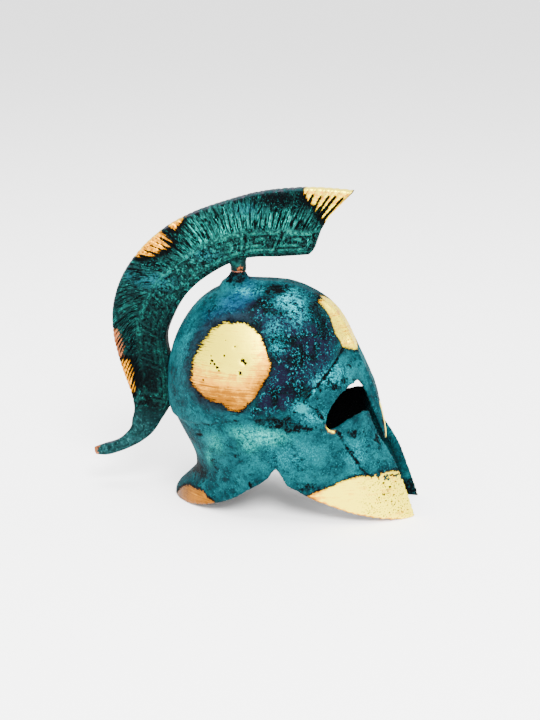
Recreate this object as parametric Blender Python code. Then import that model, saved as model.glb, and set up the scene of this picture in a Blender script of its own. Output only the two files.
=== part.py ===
"""Small cast brass replica of a Corinthian helmet with a tall plume.

Two castings: the hollow helmet shell, and the crest that stands on a boss on the dome and
meets the nape. +X is forward (the face), +Y is the wearer's left, +Z is up. Metres.
"""
import math
from collections import namedtuple

import bmesh
import bpy
import numpy as np

MM = 0.001

# Driving dimensions of the shell
BOWL_HEIGHT = 82.1 * MM
BOWL_WIDTH = 57.2 * MM
BACK_REACH = 31.2 * MM
FACE_REACH = 63.0 * MM
WALL = 2.6 * MM
NOTCH_HEIGHT = 20.9 * MM
BROW_STEP = 0.9 * MM
BROW_STEP_FADE = 6.0 * MM
RIDGE_WIDTH = 8.4 * MM
RIDGE_RISE = 1.0 * MM
EYE_WIDTH = 19.1 * MM
EYE_HEIGHT = 14.7 * MM
EYE_TURN = math.radians(40.0)
SLIT_WIDTH = 19.2 * MM
NASAL_WIDTH = 12.6 * MM
NASAL_THICKNESS = 1.9 * MM
NASAL_LENGTH = 21.4 * MM
BOSS_WIDTH = 12.4 * MM
BOSS_RISE = 3.5 * MM

# Driving dimensions of the crest
CREST_DEPTH = 23.5 * MM
CREST_THICKNESS = 6.6 * MM
POST_WIDTH = 5.4 * MM
HAIR_PITCH = 1.65 * MM
HAIR_GROOVE = 0.45 * MM
KEY_PITCH = 12.6 * MM
KEY_RISE = 0.4 * MM
KEY_RIB = 0.85 * MM

# Running gap between the two castings
SEAM = 0.3 * MM

# Resolution of the facets
SHELL_COLUMNS = 72
RINGS_BELOW_BROW = 17
RINGS_ABOVE_BROW = 18
INNER_COLUMNS = 40
INNER_RINGS = 18
COLUMNS_PER_BAND_FACET = 4
TAIL_FACETS = 14
WELD = 0.02 * MM

# Horizontal sections of the shell from below the rim to the crown. Height is a share of
# BOWL_HEIGHT, back of BACK_REACH, front and middle of FACE_REACH, width of half BOWL_WIDTH.
# The powers set how full the curve is behind and in front of its widest point.
Section = namedtuple("Section", "height back front middle width back_power front_power")
SECTIONS = [
    Section(-0.050, -0.955, 1.042, 0.159, 0.818, 1.70, 2.20),
    Section(0.000, -0.955, 1.018, 0.159, 0.828, 1.70, 2.20),
    Section(0.049, -0.926, 0.995, 0.159, 0.840, 1.80, 2.20),
    Section(0.098, -0.801, 0.970, 0.159, 0.850, 2.00, 2.20),
    Section(0.147, -0.688, 0.943, 0.159, 0.860, 2.10, 2.20),
    Section(0.220, -0.685, 0.899, 0.143, 0.881, 2.10, 2.20),
    Section(0.293, -0.765, 0.846, 0.119, 0.909, 2.10, 2.20),
    Section(0.367, -0.882, 0.779, 0.095, 0.944, 2.10, 2.15),
    Section(0.440, -0.985, 0.735, 0.079, 0.979, 2.10, 2.10),
    Section(0.538, -1.000, 0.690, 0.063, 1.000, 2.10, 2.05),
    Section(0.636, -0.985, 0.636, 0.048, 0.993, 2.10, 2.00),
    Section(0.733, -0.918, 0.575, 0.048, 0.934, 2.10, 2.00),
    Section(0.819, -0.812, 0.522, 0.048, 0.829, 2.05, 2.00),
    Section(0.886, -0.690, 0.462, 0.056, 0.703, 2.00, 2.00),
    Section(0.941, -0.540, 0.378, 0.063, 0.545, 2.00, 2.00),
    Section(0.978, -0.362, 0.275, 0.079, 0.357, 2.00, 2.00),
    Section(0.995, -0.125, 0.188, 0.087, 0.189, 2.00, 2.00),
    Section(1.000, 0.192, 0.095, 0.095, 0.000, 2.00, 2.00),
]

# Lines drawn on the side of the shell. A forward place is a share of FACE_REACH, and a
# backward one, below zero, of BACK_REACH.
SidePoint = namedtuple("SidePoint", "along height")
# Height as a share of BOWL_HEIGHT
BROW_LINE = [
    SidePoint(-1.000, 0.410),
    SidePoint(-0.620, 0.424),
    SidePoint(0.000, 0.474),
    SidePoint(0.273, 0.500),
    SidePoint(0.340, 0.564),
    SidePoint(0.429, 0.627),
    SidePoint(0.481, 0.694),
    SidePoint(0.525, 0.763),
    SidePoint(0.571, 0.807),
]
# Height as a share of NOTCH_HEIGHT
RIM_LINE = [
    SidePoint(-0.720, 0.000),
    SidePoint(-0.474, 0.110),
    SidePoint(-0.284, 0.230),
    SidePoint(-0.084, 0.400),
    SidePoint(0.019, 0.540),
    SidePoint(0.089, 0.680),
    SidePoint(0.146, 0.810),
    SidePoint(0.172, 0.940),
    SidePoint(0.192, 1.000),
    SidePoint(0.212, 0.900),
    SidePoint(0.246, 0.700),
    SidePoint(0.386, 0.463),
    SidePoint(0.517, 0.300),
    SidePoint(0.638, 0.160),
    SidePoint(0.765, 0.062),
    SidePoint(0.873, 0.000),
]

# Outline of an eye, seen square to the face: across as a share of EYE_WIDTH towards the
# temple, up as a share of EYE_HEIGHT
EyePoint = namedtuple("EyePoint", "across up")
EYE_OUTLINE = [
    EyePoint(-0.380, 0.503),
    EyePoint(-0.540, 0.400),
    EyePoint(-0.585, 0.100),
    EyePoint(-0.560, -0.150),
    EyePoint(-0.400, -0.225),
    EyePoint(-0.173, -0.252),
    EyePoint(0.026, -0.320),
    EyePoint(0.262, -0.456),
    EyePoint(0.382, -0.497),
    EyePoint(0.470, -0.440),
    EyePoint(0.505, -0.300),
    EyePoint(0.450, -0.080),
    EyePoint(0.335, 0.136),
    EyePoint(0.168, 0.313),
    EyePoint(-0.126, 0.463),
]
EYE_CENTRE_ALONG = 0.571
EYE_CENTRE_ACROSS = 0.552
EYE_CENTRE_HEIGHT = 0.516

# The nasal from its root in the brow to its tip. Drop is a share of NASAL_LENGTH below the
# root, forward of FACE_REACH, width of NASAL_WIDTH and thickness of NASAL_THICKNESS.
NasalRing = namedtuple("NasalRing", "drop forward width thickness")
NASAL_RINGS = [
    NasalRing(-0.240, 0.630, 1.00, 1.00),
    NasalRing(-0.050, 0.671, 1.00, 1.00),
    NasalRing(0.160, 0.695, 0.90, 0.95),
    NasalRing(0.365, 0.714, 0.76, 0.90),
    NasalRing(0.575, 0.736, 0.58, 0.80),
    NasalRing(0.765, 0.753, 0.40, 0.68),
    NasalRing(0.925, 0.764, 0.22, 0.55),
    NasalRing(1.000, 0.768, 0.08, 0.40),
]
NASAL_ROOT_HEIGHT = 0.570
# How far the nasal bows back at its edges, as a share of NASAL_WIDTH for its full width
NASAL_BOW = 0.079

# Boss on the dome: radius as a share of half BOSS_WIDTH, height as a share of BOSS_RISE
# over the dome. Its top has the post's own radius.
BossRing = namedtuple("BossRing", "radius height")
BOSS_RINGS = [
    BossRing(1.20, -0.75),
    BossRing(0.97, -0.10),
    BossRing(0.70, 0.25),
    BossRing(0.52, 0.60),
]
BOSS_ALONG = -0.171

# Stations of the crest from its front tip to its tail. The inner edge is given along as a
# share of BACK_REACH and up as a share of BOWL_HEIGHT. Lean is the direction from the inner
# to the outer edge in degrees from forward, depth a share of CREST_DEPTH and thickness of
# CREST_THICKNESS. Root is the share of the depth where the hair starts.
Station = namedtuple("Station", "along height lean depth thickness root")
STATIONS = [
    Station(0.641, 1.130, 55.8, 1.155, 1.00, 0.37),
    Station(0.321, 1.118, 66.0, 1.125, 1.00, 0.38),
    Station(0.000, 1.110, 79.8, 1.003, 1.00, 0.41),
    Station(-0.240, 1.083, 94.2, 0.930, 1.00, 0.46),
    Station(-0.465, 1.035, 106.2, 0.952, 1.00, 0.48),
    Station(-0.657, 0.979, 117.9, 0.980, 1.00, 0.48),
    Station(-0.817, 0.911, 130.1, 0.991, 1.00, 0.49),
    Station(-0.940, 0.828, 141.1, 0.991, 1.00, 0.50),
    Station(-1.020, 0.737, 150.7, 0.945, 1.00, 0.52),
    Station(-0.985, 0.634, 158.4, 0.942, 1.00, 0.55),
    Station(-0.949, 0.536, 165.2, 0.845, 1.00, 0.60),
    Station(-0.955, 0.448, 170.8, 0.680, 1.00, 0.66),
    Station(-1.035, 0.389, 175.0, 0.520, 0.95, 0.66),
    Station(-1.115, 0.340, 178.0, 0.455, 0.90, 0.60),
    Station(-1.205, 0.287, 168.0, 0.365, 0.85, 0.55),
    Station(-1.350, 0.238, 145.0, 0.270, 0.80, 0.50),
    Station(-1.560, 0.193, 122.0, 0.190, 0.75, 0.50),
    Station(-1.770, 0.163, 108.0, 0.182, 0.72, 0.50),
    Station(-1.915, 0.160, 106.0, 0.120, 0.50, 0.50),
]
HAIR_END_STATION = 11.6
# How far a strand's root lies ahead of its tip at the tail end, as a share of the hair's depth
STRAND_SWEEP = 2.5
TAIL_START_STATION = 12.6
KEY_FIRST_STATION = 0.28
KEY_LAST_STATION = 11.2

# Rows across the crest. A row lies at a share of the way to the hair's root plus a share of
# the way to the outer edge. Half is half the thickness there, for the flat slab and for the
# round tail. The front shift, a share of CREST_DEPTH, shapes the slab's front end.
CrestRow = namedtuple("CrestRow", "to_root to_edge half tail_half front_shift")
CREST_ROWS = [
    CrestRow(0.00, 0.00, 0.72, 0.45, 0.000),
    CrestRow(0.20, 0.00, 1.00, 0.75, 0.022),
    CrestRow(0.96, 0.00, 1.00, 1.00, -0.072),
    CrestRow(1.06, 0.00, 0.88, 1.00, -0.074),
    CrestRow(0.55, 0.40, 0.85, 0.90, -0.100),
    CrestRow(0.00, 1.00, 0.80, 0.45, 0.000),
]
FIRST_HAIR_ROW = 3
FRONT_SHIFT_FADE = 9.0 * MM
# The key pattern's edges, as shares of the way to the hair's root
KEY_LOW = 0.27
KEY_HIGH = 0.90

# One unit of the key pattern, charted by hand in cells
KEY_PATH = [(5.1, 0.0), (0.0, 0.0), (0.0, 5.0), (5.0, 5.0), (5.0, 1.35), (2.0, 1.35), (2.0, 3.4), (3.5, 3.4)]
KEY_CELLS_LONG = 6.0
KEY_CELLS_HIGH = 5.0

# Post under the crest. Length, width and the shift forward are shares of half POST_WIDTH, and
# height is a share of the way from the seam to the slab.
PostRing = namedtuple("PostRing", "length width shift height")
POST_RINGS = [
    PostRing(1.00, 1.00, 0.00, 0.00),
    PostRing(1.06, 1.02, 0.00, 0.35),
    PostRing(1.45, 1.06, -0.35, 0.80),
    PostRing(2.20, 1.06, -1.05, 1.20),
]
ROUND_SIDES = 20


def curve_through(values, at):
    """Read a column of a table at fractional rows on a smooth curve through every row."""
    values = np.asarray(values, float)
    last = len(values) - 1
    at = np.clip(np.asarray(at, float), 0.0, last)
    row = np.minimum(at.astype(int), last - 1)
    part = at - row
    start = values[row]
    end = values[row + 1]
    leaving = (end - values[np.maximum(row - 1, 0)]) / 2.0
    arriving = (values[np.minimum(row + 2, last)] - start) / 2.0
    square = part * part
    cube = square * part
    return (
        start * (2 * cube - 3 * square + 1)
        + end * (3 * square - 2 * cube)
        + leaving * (cube - 2 * square + part)
        + arriving * (cube - square)
    )


def column(rows, name):
    return np.array([getattr(row, name) for row in rows])


def along_to_x(share):
    share = np.asarray(share, float)
    return np.where(share < 0.0, share * BACK_REACH, share * FACE_REACH)


def section_row(height):
    """Fractional row of the section table at a height in metres."""
    fine = np.linspace(0.0, len(SECTIONS) - 1, 900)
    heights = curve_through(column(SECTIONS, "height"), fine) * BOWL_HEIGHT
    return np.interp(height, heights, fine)


def shell_point(angle, row, grow=0.0):
    """Point of the outer form. Angle 0 is the face, and grow swells it by a clearance."""
    read = {name: curve_through(column(SECTIONS, name), row) for name in Section._fields}
    middle = read["middle"] * FACE_REACH
    front = read["front"] * FACE_REACH - middle + grow
    back = middle - read["back"] * BACK_REACH + grow
    back = np.where(read["width"] < 1e-4, grow, back)
    width = read["width"] * BOWL_WIDTH / 2 + grow
    forward = np.cos(angle) >= 0.0
    power = 2.0 / np.where(forward, read["front_power"], read["back_power"])
    reach = np.where(forward, front, back)
    x = middle + reach * np.sign(np.cos(angle)) * np.abs(np.cos(angle)) ** power
    y = width * np.sign(np.sin(angle)) * np.abs(np.sin(angle)) ** power
    z = read["height"] * (BOWL_HEIGHT + grow)
    return np.stack([x, y, z], axis=-1)


def brow_height(angle):
    """Height of the brow line at an angle round the shell."""
    places = along_to_x(column(BROW_LINE, "along"))
    heights = column(BROW_LINE, "height") * BOWL_HEIGHT
    height = np.full_like(angle, heights.mean())
    for _ in range(40):
        x = shell_point(angle, section_row(height))[..., 0]
        height = 0.5 * height + 0.5 * np.interp(x, places, heights)
    return height


def grid_normals(points):
    """Outward normals of a grid of rings that run round the shell, lowest ring first."""
    around = np.roll(points, -1, axis=1) - np.roll(points, 1, axis=1)
    upward = np.gradient(points, axis=0)
    normals = np.cross(around, upward)
    length = np.linalg.norm(normals, axis=-1, keepdims=True)
    return normals / np.maximum(length, 1e-12)


def rings_to_mesh(name, rings, crown=None):
    """Closed mesh from rings of equal count, capped below, and above by a crown or a cap."""
    mesh = bmesh.new()
    loops = [[mesh.verts.new(point) for point in ring] for ring in rings]
    count = len(loops[0])
    for lower, upper in zip(loops, loops[1:]):
        for index in range(count):
            following = (index + 1) % count
            mesh.faces.new((lower[index], lower[following], upper[following], upper[index]))
    mesh.faces.new(list(reversed(loops[0])))
    if crown is None:
        mesh.faces.new(loops[-1])
    else:
        top = mesh.verts.new(crown)
        for index in range(count):
            mesh.faces.new((loops[-1][index], loops[-1][(index + 1) % count], top))
    return bmesh_to_object(name, mesh)


def bmesh_to_object(name, mesh):
    bmesh.ops.recalc_face_normals(mesh, faces=mesh.faces)
    data = bpy.data.meshes.new(name)
    mesh.to_mesh(data)
    mesh.free()
    thing = bpy.data.objects.new(name, data)
    bpy.context.scene.collection.objects.link(thing)
    return thing


def prism(name, outline, near, far):
    """Closed prism from an outline of points, between two offsets of it."""
    mesh = bmesh.new()
    low = [mesh.verts.new(np.asarray(point, float) + near) for point in outline]
    high = [mesh.verts.new(np.asarray(point, float) + far) for point in outline]
    count = len(outline)
    for index in range(count):
        following = (index + 1) % count
        mesh.faces.new((low[index], low[following], high[following], high[index]))
    mesh.faces.new(list(reversed(low)))
    mesh.faces.new(high)
    return bmesh_to_object(name, mesh)


def combine(target, tool, operation):
    """Apply a Boolean of the tool to the target, and remove the tool."""
    modifier = target.modifiers.new("combine", "BOOLEAN")
    modifier.operation = operation
    modifier.object = tool
    modifier.solver = "EXACT"
    bpy.context.view_layer.update()
    depsgraph = bpy.context.evaluated_depsgraph_get()
    result = bpy.data.meshes.new_from_object(target.evaluated_get(depsgraph))
    target.modifiers.clear()
    target.data = result
    bpy.data.objects.remove(tool, do_unlink=True)


def outer_form(grow=0.0):
    """The shell's closed outer form, with the step that follows the brow line."""
    angle = np.linspace(0.0, 2 * math.pi, SHELL_COLUMNS, endpoint=False)
    brow = brow_height(angle)
    lowest = SECTIONS[0].height * BOWL_HEIGHT
    half_step = BROW_STEP / 2
    crown = len(SECTIONS) - 1
    rows = []
    below = []
    for part in np.linspace(0.0, 1.0, RINGS_BELOW_BROW):
        height = lowest + (brow - half_step - lowest) * part
        rows.append(section_row(height))
        below.append(brow - height)
    start = section_row(brow + half_step)
    for part in np.linspace(0.0, 1.0, RINGS_ABOVE_BROW, endpoint=False):
        rows.append(start + (crown - start) * part)
        below.append(np.full_like(angle, -1.0))
    rows = np.array(rows)
    below = np.array(below)
    points = shell_point(np.broadcast_to(angle, rows.shape), rows, grow)
    recess = np.where(below > 0.0, BROW_STEP * np.exp(-below / BROW_STEP_FADE), 0.0)
    points = points - grid_normals(points) * recess[..., None]
    points[0, :, 2] = lowest
    top = shell_point(np.array(0.0), np.array(float(crown)), grow)
    return rings_to_mesh("outer_form", points, top)


def inner_form():
    """The hollow for the head: the outer form moved in by the wall, open past the rim."""
    angle = np.linspace(0.0, 2 * math.pi, INNER_COLUMNS, endpoint=False)
    rows = np.linspace(0.0, len(SECTIONS) - 1, INNER_RINGS, endpoint=False)
    grid = np.broadcast_to(rows[:, None], (INNER_RINGS, INNER_COLUMNS))
    points = shell_point(np.broadcast_to(angle, grid.shape), grid)
    points = points - grid_normals(points) * WALL
    points[0, :, 2] = SECTIONS[0].height * BOWL_HEIGHT - WALL
    crown = shell_point(np.array(0.0), np.array(float(len(SECTIONS) - 1)))
    return rings_to_mesh("inner_form", points, crown - np.array([0.0, 0.0, WALL]))


def raised_band(profile, outward, halves, depth, rises):
    """Closed strip of ring sections with a bevelled raised face, along a profile in X and Z."""
    rings = []
    for place, direction, half, rise in zip(profile, outward, halves, rises):
        left = [(-half, -depth), (-half, 0.0), (-half * 0.8, rise)]
        right = [(-across, lift) for across, lift in reversed(left)]
        ring = []
        for across, lift in left + right:
            spot = place + direction * lift
            ring.append((spot[0], across, spot[1]))
        rings.append(ring)
    return rings_to_mesh("raised_band", rings)


def ridge():
    """Raised band from the boss over the forehead to the root of the nasal."""
    first_row = section_row(NASAL_ROOT_HEIGHT * BOWL_HEIGHT + 0.1 * NASAL_LENGTH)
    rows = np.linspace(first_row, len(SECTIONS) - 1, 20)
    profile = shell_point(np.zeros_like(rows), rows)[:, [0, 2]]
    profile = np.concatenate([profile, [[BOSS_ALONG * BACK_REACH, BOWL_HEIGHT]]])
    tangent = np.gradient(profile, axis=0)
    outward = np.stack([tangent[:, 1], -tangent[:, 0]], axis=1)
    outward /= np.linalg.norm(outward, axis=1, keepdims=True)
    count = len(profile)
    return raised_band(profile, outward, [RIDGE_WIDTH / 2] * count, WALL / 2, [RIDGE_RISE] * count)


def nasal():
    """Tapering guard over the nose, bowed across, with the ridge running down it."""
    root = NASAL_ROOT_HEIGHT * BOWL_HEIGHT
    rings = []
    for ring in NASAL_RINGS:
        height = root - ring.drop * NASAL_LENGTH
        front = ring.forward * FACE_REACH
        half = ring.width * NASAL_WIDTH / 2
        thickness = ring.thickness * NASAL_THICKNESS
        foot = min(0.47 * RIDGE_WIDTH, 0.62 * half)
        rise = RIDGE_RISE * min(1.0, half / foot * ring.thickness * 0.62)
        bow = NASAL_BOW * 4.0 / NASAL_WIDTH
        edge = front - bow * half * half
        left = [
            (front - thickness, 0.5 * half),
            (edge - thickness, half),
            (edge, half),
            (front - bow * foot * foot, foot),
            (front + rise, 0.8 * foot),
        ]
        right = [(x, -y) for x, y in reversed(left)]
        rings.append([(x, y, height) for x, y in left + right])
    return rings_to_mesh("nasal", rings)


def boss():
    centre = BOSS_ALONG * BACK_REACH
    rings = []
    levels = [(ring.radius * BOSS_WIDTH / 2, BOWL_HEIGHT + ring.height * BOSS_RISE) for ring in BOSS_RINGS]
    levels.append((POST_WIDTH / 2, BOWL_HEIGHT + BOSS_RISE))
    for radius, height in levels:
        rings.append(circle(centre, radius, radius, height))
    return rings_to_mesh("boss", rings)


def circle(centre_x, half_length, half_width, height):
    turns = [2 * math.pi * index / ROUND_SIDES for index in range(ROUND_SIDES)]
    return [(centre_x + half_length * math.cos(t), half_width * math.sin(t), height) for t in turns]


def rim_cutter():
    """Everything below the rim, seen from the side."""
    outline = [(along_to_x(p.along), p.height * NOTCH_HEIGHT) for p in RIM_LINE]
    back_end = -2.0 * BACK_REACH
    front_end = 1.4 * FACE_REACH
    floor = -BOWL_HEIGHT / 4
    outline = [(back_end, 0.0)] + outline + [(front_end, 0.0), (front_end, floor), (back_end, floor)]
    points = [(x, 0.0, z) for x, z in outline]
    return prism("rim_cutter", points, (0.0, -BOWL_WIDTH, 0.0), (0.0, BOWL_WIDTH, 0.0))


def face_cutter():
    """The slit between the cheek pieces, up to the root of the nasal."""
    root = NASAL_ROOT_HEIGHT * BOWL_HEIGHT
    slit = SLIT_WIDTH / 2
    right = [(slit, -BOWL_HEIGHT / 4), (slit, root - 0.38 * NASAL_LENGTH), (0.85 * slit, root)]
    left = [(-y, z) for y, z in reversed(right)]
    points = [(0.0, y, z) for y, z in right + left]
    return prism("face_cutter", points, (0.3 * FACE_REACH, 0.0, 0.0), (1.4 * FACE_REACH, 0.0, 0.0))


def eye_cutter(side):
    """One eye, cut square to its cheek. Side is 1 on the wearer's left and -1 on the right."""
    centre = np.array([
        EYE_CENTRE_ALONG * FACE_REACH,
        side * EYE_CENTRE_ACROSS * BOWL_WIDTH / 2,
        EYE_CENTRE_HEIGHT * BOWL_HEIGHT,
    ])
    outward = np.array([math.cos(EYE_TURN), side * math.sin(EYE_TURN), 0.0])
    towards_temple = np.array([-math.sin(EYE_TURN), side * math.cos(EYE_TURN), 0.0])
    up = np.array([0.0, 0.0, 1.0])
    outline = []
    for point in EYE_OUTLINE:
        shift = towards_temple * point.across * EYE_WIDTH + up * point.up * EYE_HEIGHT
        outline.append(centre + shift)
    reach = 4 * WALL
    return prism("eye_cutter", outline, -outward * reach, outward * reach)


def helmet_shell():
    shell = outer_form()
    shell.name = "helmet_shell"
    combine(shell, ridge(), "UNION")
    combine(shell, boss(), "UNION")
    combine(shell, inner_form(), "DIFFERENCE")
    combine(shell, rim_cutter(), "DIFFERENCE")
    combine(shell, face_cutter(), "DIFFERENCE")
    for side in (1, -1):
        combine(shell, eye_cutter(side), "DIFFERENCE")
    combine(shell, nasal(), "UNION")
    return shell


def crest_edge(station, depth):
    """Point of the crest's middle plane at a station and a share of the depth."""
    read = {name: curve_through(column(STATIONS, name), station) for name in Station._fields}
    lean = np.radians(read["lean"])
    reach = depth * read["depth"] * CREST_DEPTH
    x = read["along"] * BACK_REACH + reach * np.cos(lean)
    z = read["height"] * BOWL_HEIGHT + reach * np.sin(lean)
    return np.stack([x, z], axis=-1)


def root_depth(station):
    return curve_through(column(STATIONS, "root"), station)


def run_along(depth):
    """Stations and the distance run at each, on a line at one share of the depth."""
    fine = np.linspace(0.0, len(STATIONS) - 1, 1200)
    line = crest_edge(fine, depth)
    steps = np.linalg.norm(np.diff(line, axis=0), axis=1)
    return fine, np.concatenate([[0.0], np.cumsum(steps)])


def crest_point(station, row):
    """Point on the left face of the slab, before grooves."""
    distance = np.interp(station, *run_along(0.5))
    fade = np.clip(1.0 - distance / FRONT_SHIFT_FADE, 0.0, 1.0)
    x, z = crest_edge(np.array(station), row.to_root * root_depth(station) + row.to_edge)
    x += row.front_shift * CREST_DEPTH * fade
    tail = np.clip((station - HAIR_END_STATION) / (TAIL_START_STATION - HAIR_END_STATION), 0.0, 1.0)
    share = row.half + (row.tail_half - row.half) * tail
    thickness = curve_through(column(STATIONS, "thickness"), np.array(station))
    return np.array([x, share * thickness * CREST_THICKNESS / 2, z])


def hair_stations():
    """Stations of strand tops and grooves: even at the outer edge, and at the root swept
    towards the face, more so down the back."""
    fine, run = run_along(1.0)
    length = np.interp(HAIR_END_STATION, fine, run)
    groups = round(length / (HAIR_PITCH * COLUMNS_PER_BAND_FACET / 2))
    marks = np.linspace(0.0, length, groups * COLUMNS_PER_BAND_FACET + 1)
    share = marks / length
    edge = np.interp(marks, run, fine)
    hair_depth = curve_through(column(STATIONS, "depth"), edge) * (1.0 - root_depth(edge)) * CREST_DEPTH
    swept = marks - STRAND_SWEEP * share ** 2.2 * hair_depth
    return edge, np.interp(swept, run, fine)


def crest_slab():
    """The slab as rows of points. The hair rows are finer than the band below them."""
    edge_hair, root_hair = hair_stations()
    hair_count = len(edge_hair) - 1
    tail = np.linspace(HAIR_END_STATION, len(STATIONS) - 1, TAIL_FACETS + 1)[1:]
    coarse = np.concatenate([root_hair[::COLUMNS_PER_BAND_FACET], tail])
    mesh = bmesh.new()
    sides = []
    for sign in (1, -1):
        lines = []
        for number, row in enumerate(CREST_ROWS):
            if number < FIRST_HAIR_ROW:
                points = [crest_point(station, row) for station in coarse]
            else:
                points = hair_row(row, root_hair + (edge_hair - root_hair) * row.to_edge, tail)
            lines.append([mesh.verts.new((x, sign * y, z)) for x, y, z in points])
        sides.append(lines)
    for lines in sides:
        for lower, upper in zip(lines, lines[1:]):
            join_lines(mesh, lower, upper, hair_count)
    left, right = sides
    for edge in (0, -1):
        near = left[edge]
        far = right[edge]
        for index in range(len(near) - 1):
            mesh.faces.new((near[index], near[index + 1], far[index + 1], far[index]))
    for end in (0, -1):
        for lower in range(len(CREST_ROWS) - 1):
            upper = lower + 1
            mesh.faces.new((left[lower][end], left[upper][end], right[upper][end], right[lower][end]))
    return bmesh_to_object("crest", mesh)


def hair_row(row, hair, tail):
    """One fine row: every second point of the hair is sunk into a groove."""
    points = []
    for index, station in enumerate(hair):
        point = crest_point(station, row)
        if index % 2 == 1:
            point[1] -= HAIR_GROOVE * (1.0 if row.to_edge else 0.5)
            if row.to_edge == 1.0:
                way = point[[0, 2]] - crest_edge(np.array(station), 0.0)
                point[[0, 2]] -= way / np.linalg.norm(way) * HAIR_GROOVE
        points.append(point)
    return points + [crest_point(station, row) for station in tail]


def join_lines(mesh, lower, upper, hair_count):
    """Faces between two lines, of which the upper may be finer over the hair."""
    if len(lower) == len(upper):
        for index in range(len(lower) - 1):
            mesh.faces.new((lower[index], lower[index + 1], upper[index + 1], upper[index]))
        return
    per_facet = COLUMNS_PER_BAND_FACET
    groups = hair_count // per_facet
    for group in range(groups):
        first = lower[group]
        second = lower[group + 1]
        start = group * per_facet
        middle = start + per_facet // 2
        for index in range(start, middle):
            mesh.faces.new((first, upper[index + 1], upper[index]))
        mesh.faces.new((first, second, upper[middle]))
        for index in range(middle, start + per_facet):
            mesh.faces.new((second, upper[index + 1], upper[index]))
    for step in range(len(lower) - 1 - groups):
        low = groups + step
        high = hair_count + step
        mesh.faces.new((lower[low], lower[low + 1], upper[high + 1], upper[high]))


def ribbon(path, half):
    """Outline of a ribbon along a path of straight runs with square corners."""
    path = np.asarray(path, float)
    runs = np.diff(path, axis=0)
    runs /= np.linalg.norm(runs, axis=1, keepdims=True)
    across = np.stack([-runs[:, 1], runs[:, 0]], axis=1)
    offsets = [across[0] - runs[0]]
    for index in range(1, len(path) - 1):
        offsets.append(across[index - 1] + across[index])
    offsets.append(across[-1] + runs[-1])
    others = [-across[0] - runs[0]]
    for index in range(1, len(path) - 1):
        others.append(-across[index - 1] - across[index])
    others.append(-across[-1] + runs[-1])
    left = path + np.array(offsets) * half
    right = path + np.array(others) * half
    return np.concatenate([left, right[::-1]])


def key_relief():
    """Raised traditional key pattern on both faces of the band."""
    fine, run = run_along(0.3)
    first = np.interp(KEY_FIRST_STATION, fine, run)
    last = np.interp(KEY_LAST_STATION, fine, run)
    units = max(1, round((last - first) / KEY_PITCH))
    pitch = (last - first) / units
    band_depths = curve_through(column(STATIONS, "depth"), fine) * root_depth(fine)
    band = np.interp((first + last) / 2, run, band_depths)
    height = (KEY_HIGH - KEY_LOW) * band * CREST_DEPTH
    path = np.array(KEY_PATH) * [pitch / KEY_CELLS_LONG, height / KEY_CELLS_HIGH]
    outline = ribbon(path, KEY_RIB / 2)
    foot = CREST_THICKNESS / 2 - KEY_RISE
    face = CREST_THICKNESS / 2 + KEY_RISE
    mesh = bmesh.new()
    for sign in (1, -1):
        for unit in range(units):
            low = []
            high = []
            for along, up in outline:
                station = np.interp(first + unit * pitch + along, run, fine)
                share = KEY_LOW + (KEY_HIGH - KEY_LOW) * up / height
                x, z = crest_edge(np.array(station), share * root_depth(station))
                low.append(mesh.verts.new((x, sign * foot, z)))
                high.append(mesh.verts.new((x, sign * face, z)))
            count = len(low)
            for index in range(count):
                following = (index + 1) % count
                mesh.faces.new((low[index], low[following], high[following], high[index]))
            mesh.faces.new(list(reversed(low)))
            mesh.faces.new(high)
    return bmesh_to_object("key_relief", mesh)


def post():
    """Short post under the slab that stands on the boss."""
    centre = BOSS_ALONG * BACK_REACH
    seam = BOWL_HEIGHT + BOSS_RISE + SEAM
    fine = np.linspace(0.0, 6.0, 200)
    station = np.interp(-centre, -crest_edge(fine, 0.0)[:, 0], fine)
    under = crest_edge(np.array(station), 0.0)[1]
    rise = under - seam
    rings = []
    for ring in POST_RINGS:
        half = POST_WIDTH / 2
        middle = centre + ring.shift * half
        rings.append(circle(middle, ring.length * half, ring.width * half, seam + ring.height * rise))
    return rings_to_mesh("post", rings)


def crest():
    slab = crest_slab()
    combine(slab, key_relief(), "UNION")
    combine(slab, post(), "UNION")
    combine(slab, outer_form(SEAM), "DIFFERENCE")
    return slab


def metal(name, colour, roughness, metallic):
    material = bpy.data.materials.new(name)
    material.use_nodes = True
    shader = material.node_tree.nodes["Principled BSDF"]
    shader.inputs["Base Color"].default_value = (*colour, 1.0)
    shader.inputs["Roughness"].default_value = roughness
    shader.inputs["Metallic"].default_value = metallic
    return material


def finish(thing, material):
    mesh = bmesh.new()
    mesh.from_mesh(thing.data)
    bmesh.ops.remove_doubles(mesh, verts=mesh.verts, dist=WELD)
    bmesh.ops.triangulate(mesh, faces=mesh.faces, quad_method="BEAUTY", ngon_method="BEAUTY")
    bmesh.ops.dissolve_degenerate(mesh, edges=mesh.edges, dist=WELD)
    mesh.to_mesh(thing.data)
    mesh.free()
    thing.data.materials.clear()
    thing.data.materials.append(material)
    thing.data.shade_smooth()
    thing.data.set_sharp_from_angle(angle=math.radians(32.0))


def stand_at_origin(pieces):
    """Hang the pieces on one empty, and move it so that the model stands centred on Z = 0."""
    corners = np.array([vertex.co for piece in pieces for vertex in piece.data.vertices])
    low = corners.min(axis=0)
    high = corners.max(axis=0)
    stand = bpy.data.objects.new("helmet", None)
    bpy.context.scene.collection.objects.link(stand)
    stand.location = (-(low[0] + high[0]) / 2, -(low[1] + high[1]) / 2, -low[2])
    for piece in pieces:
        piece.parent = stand


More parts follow.
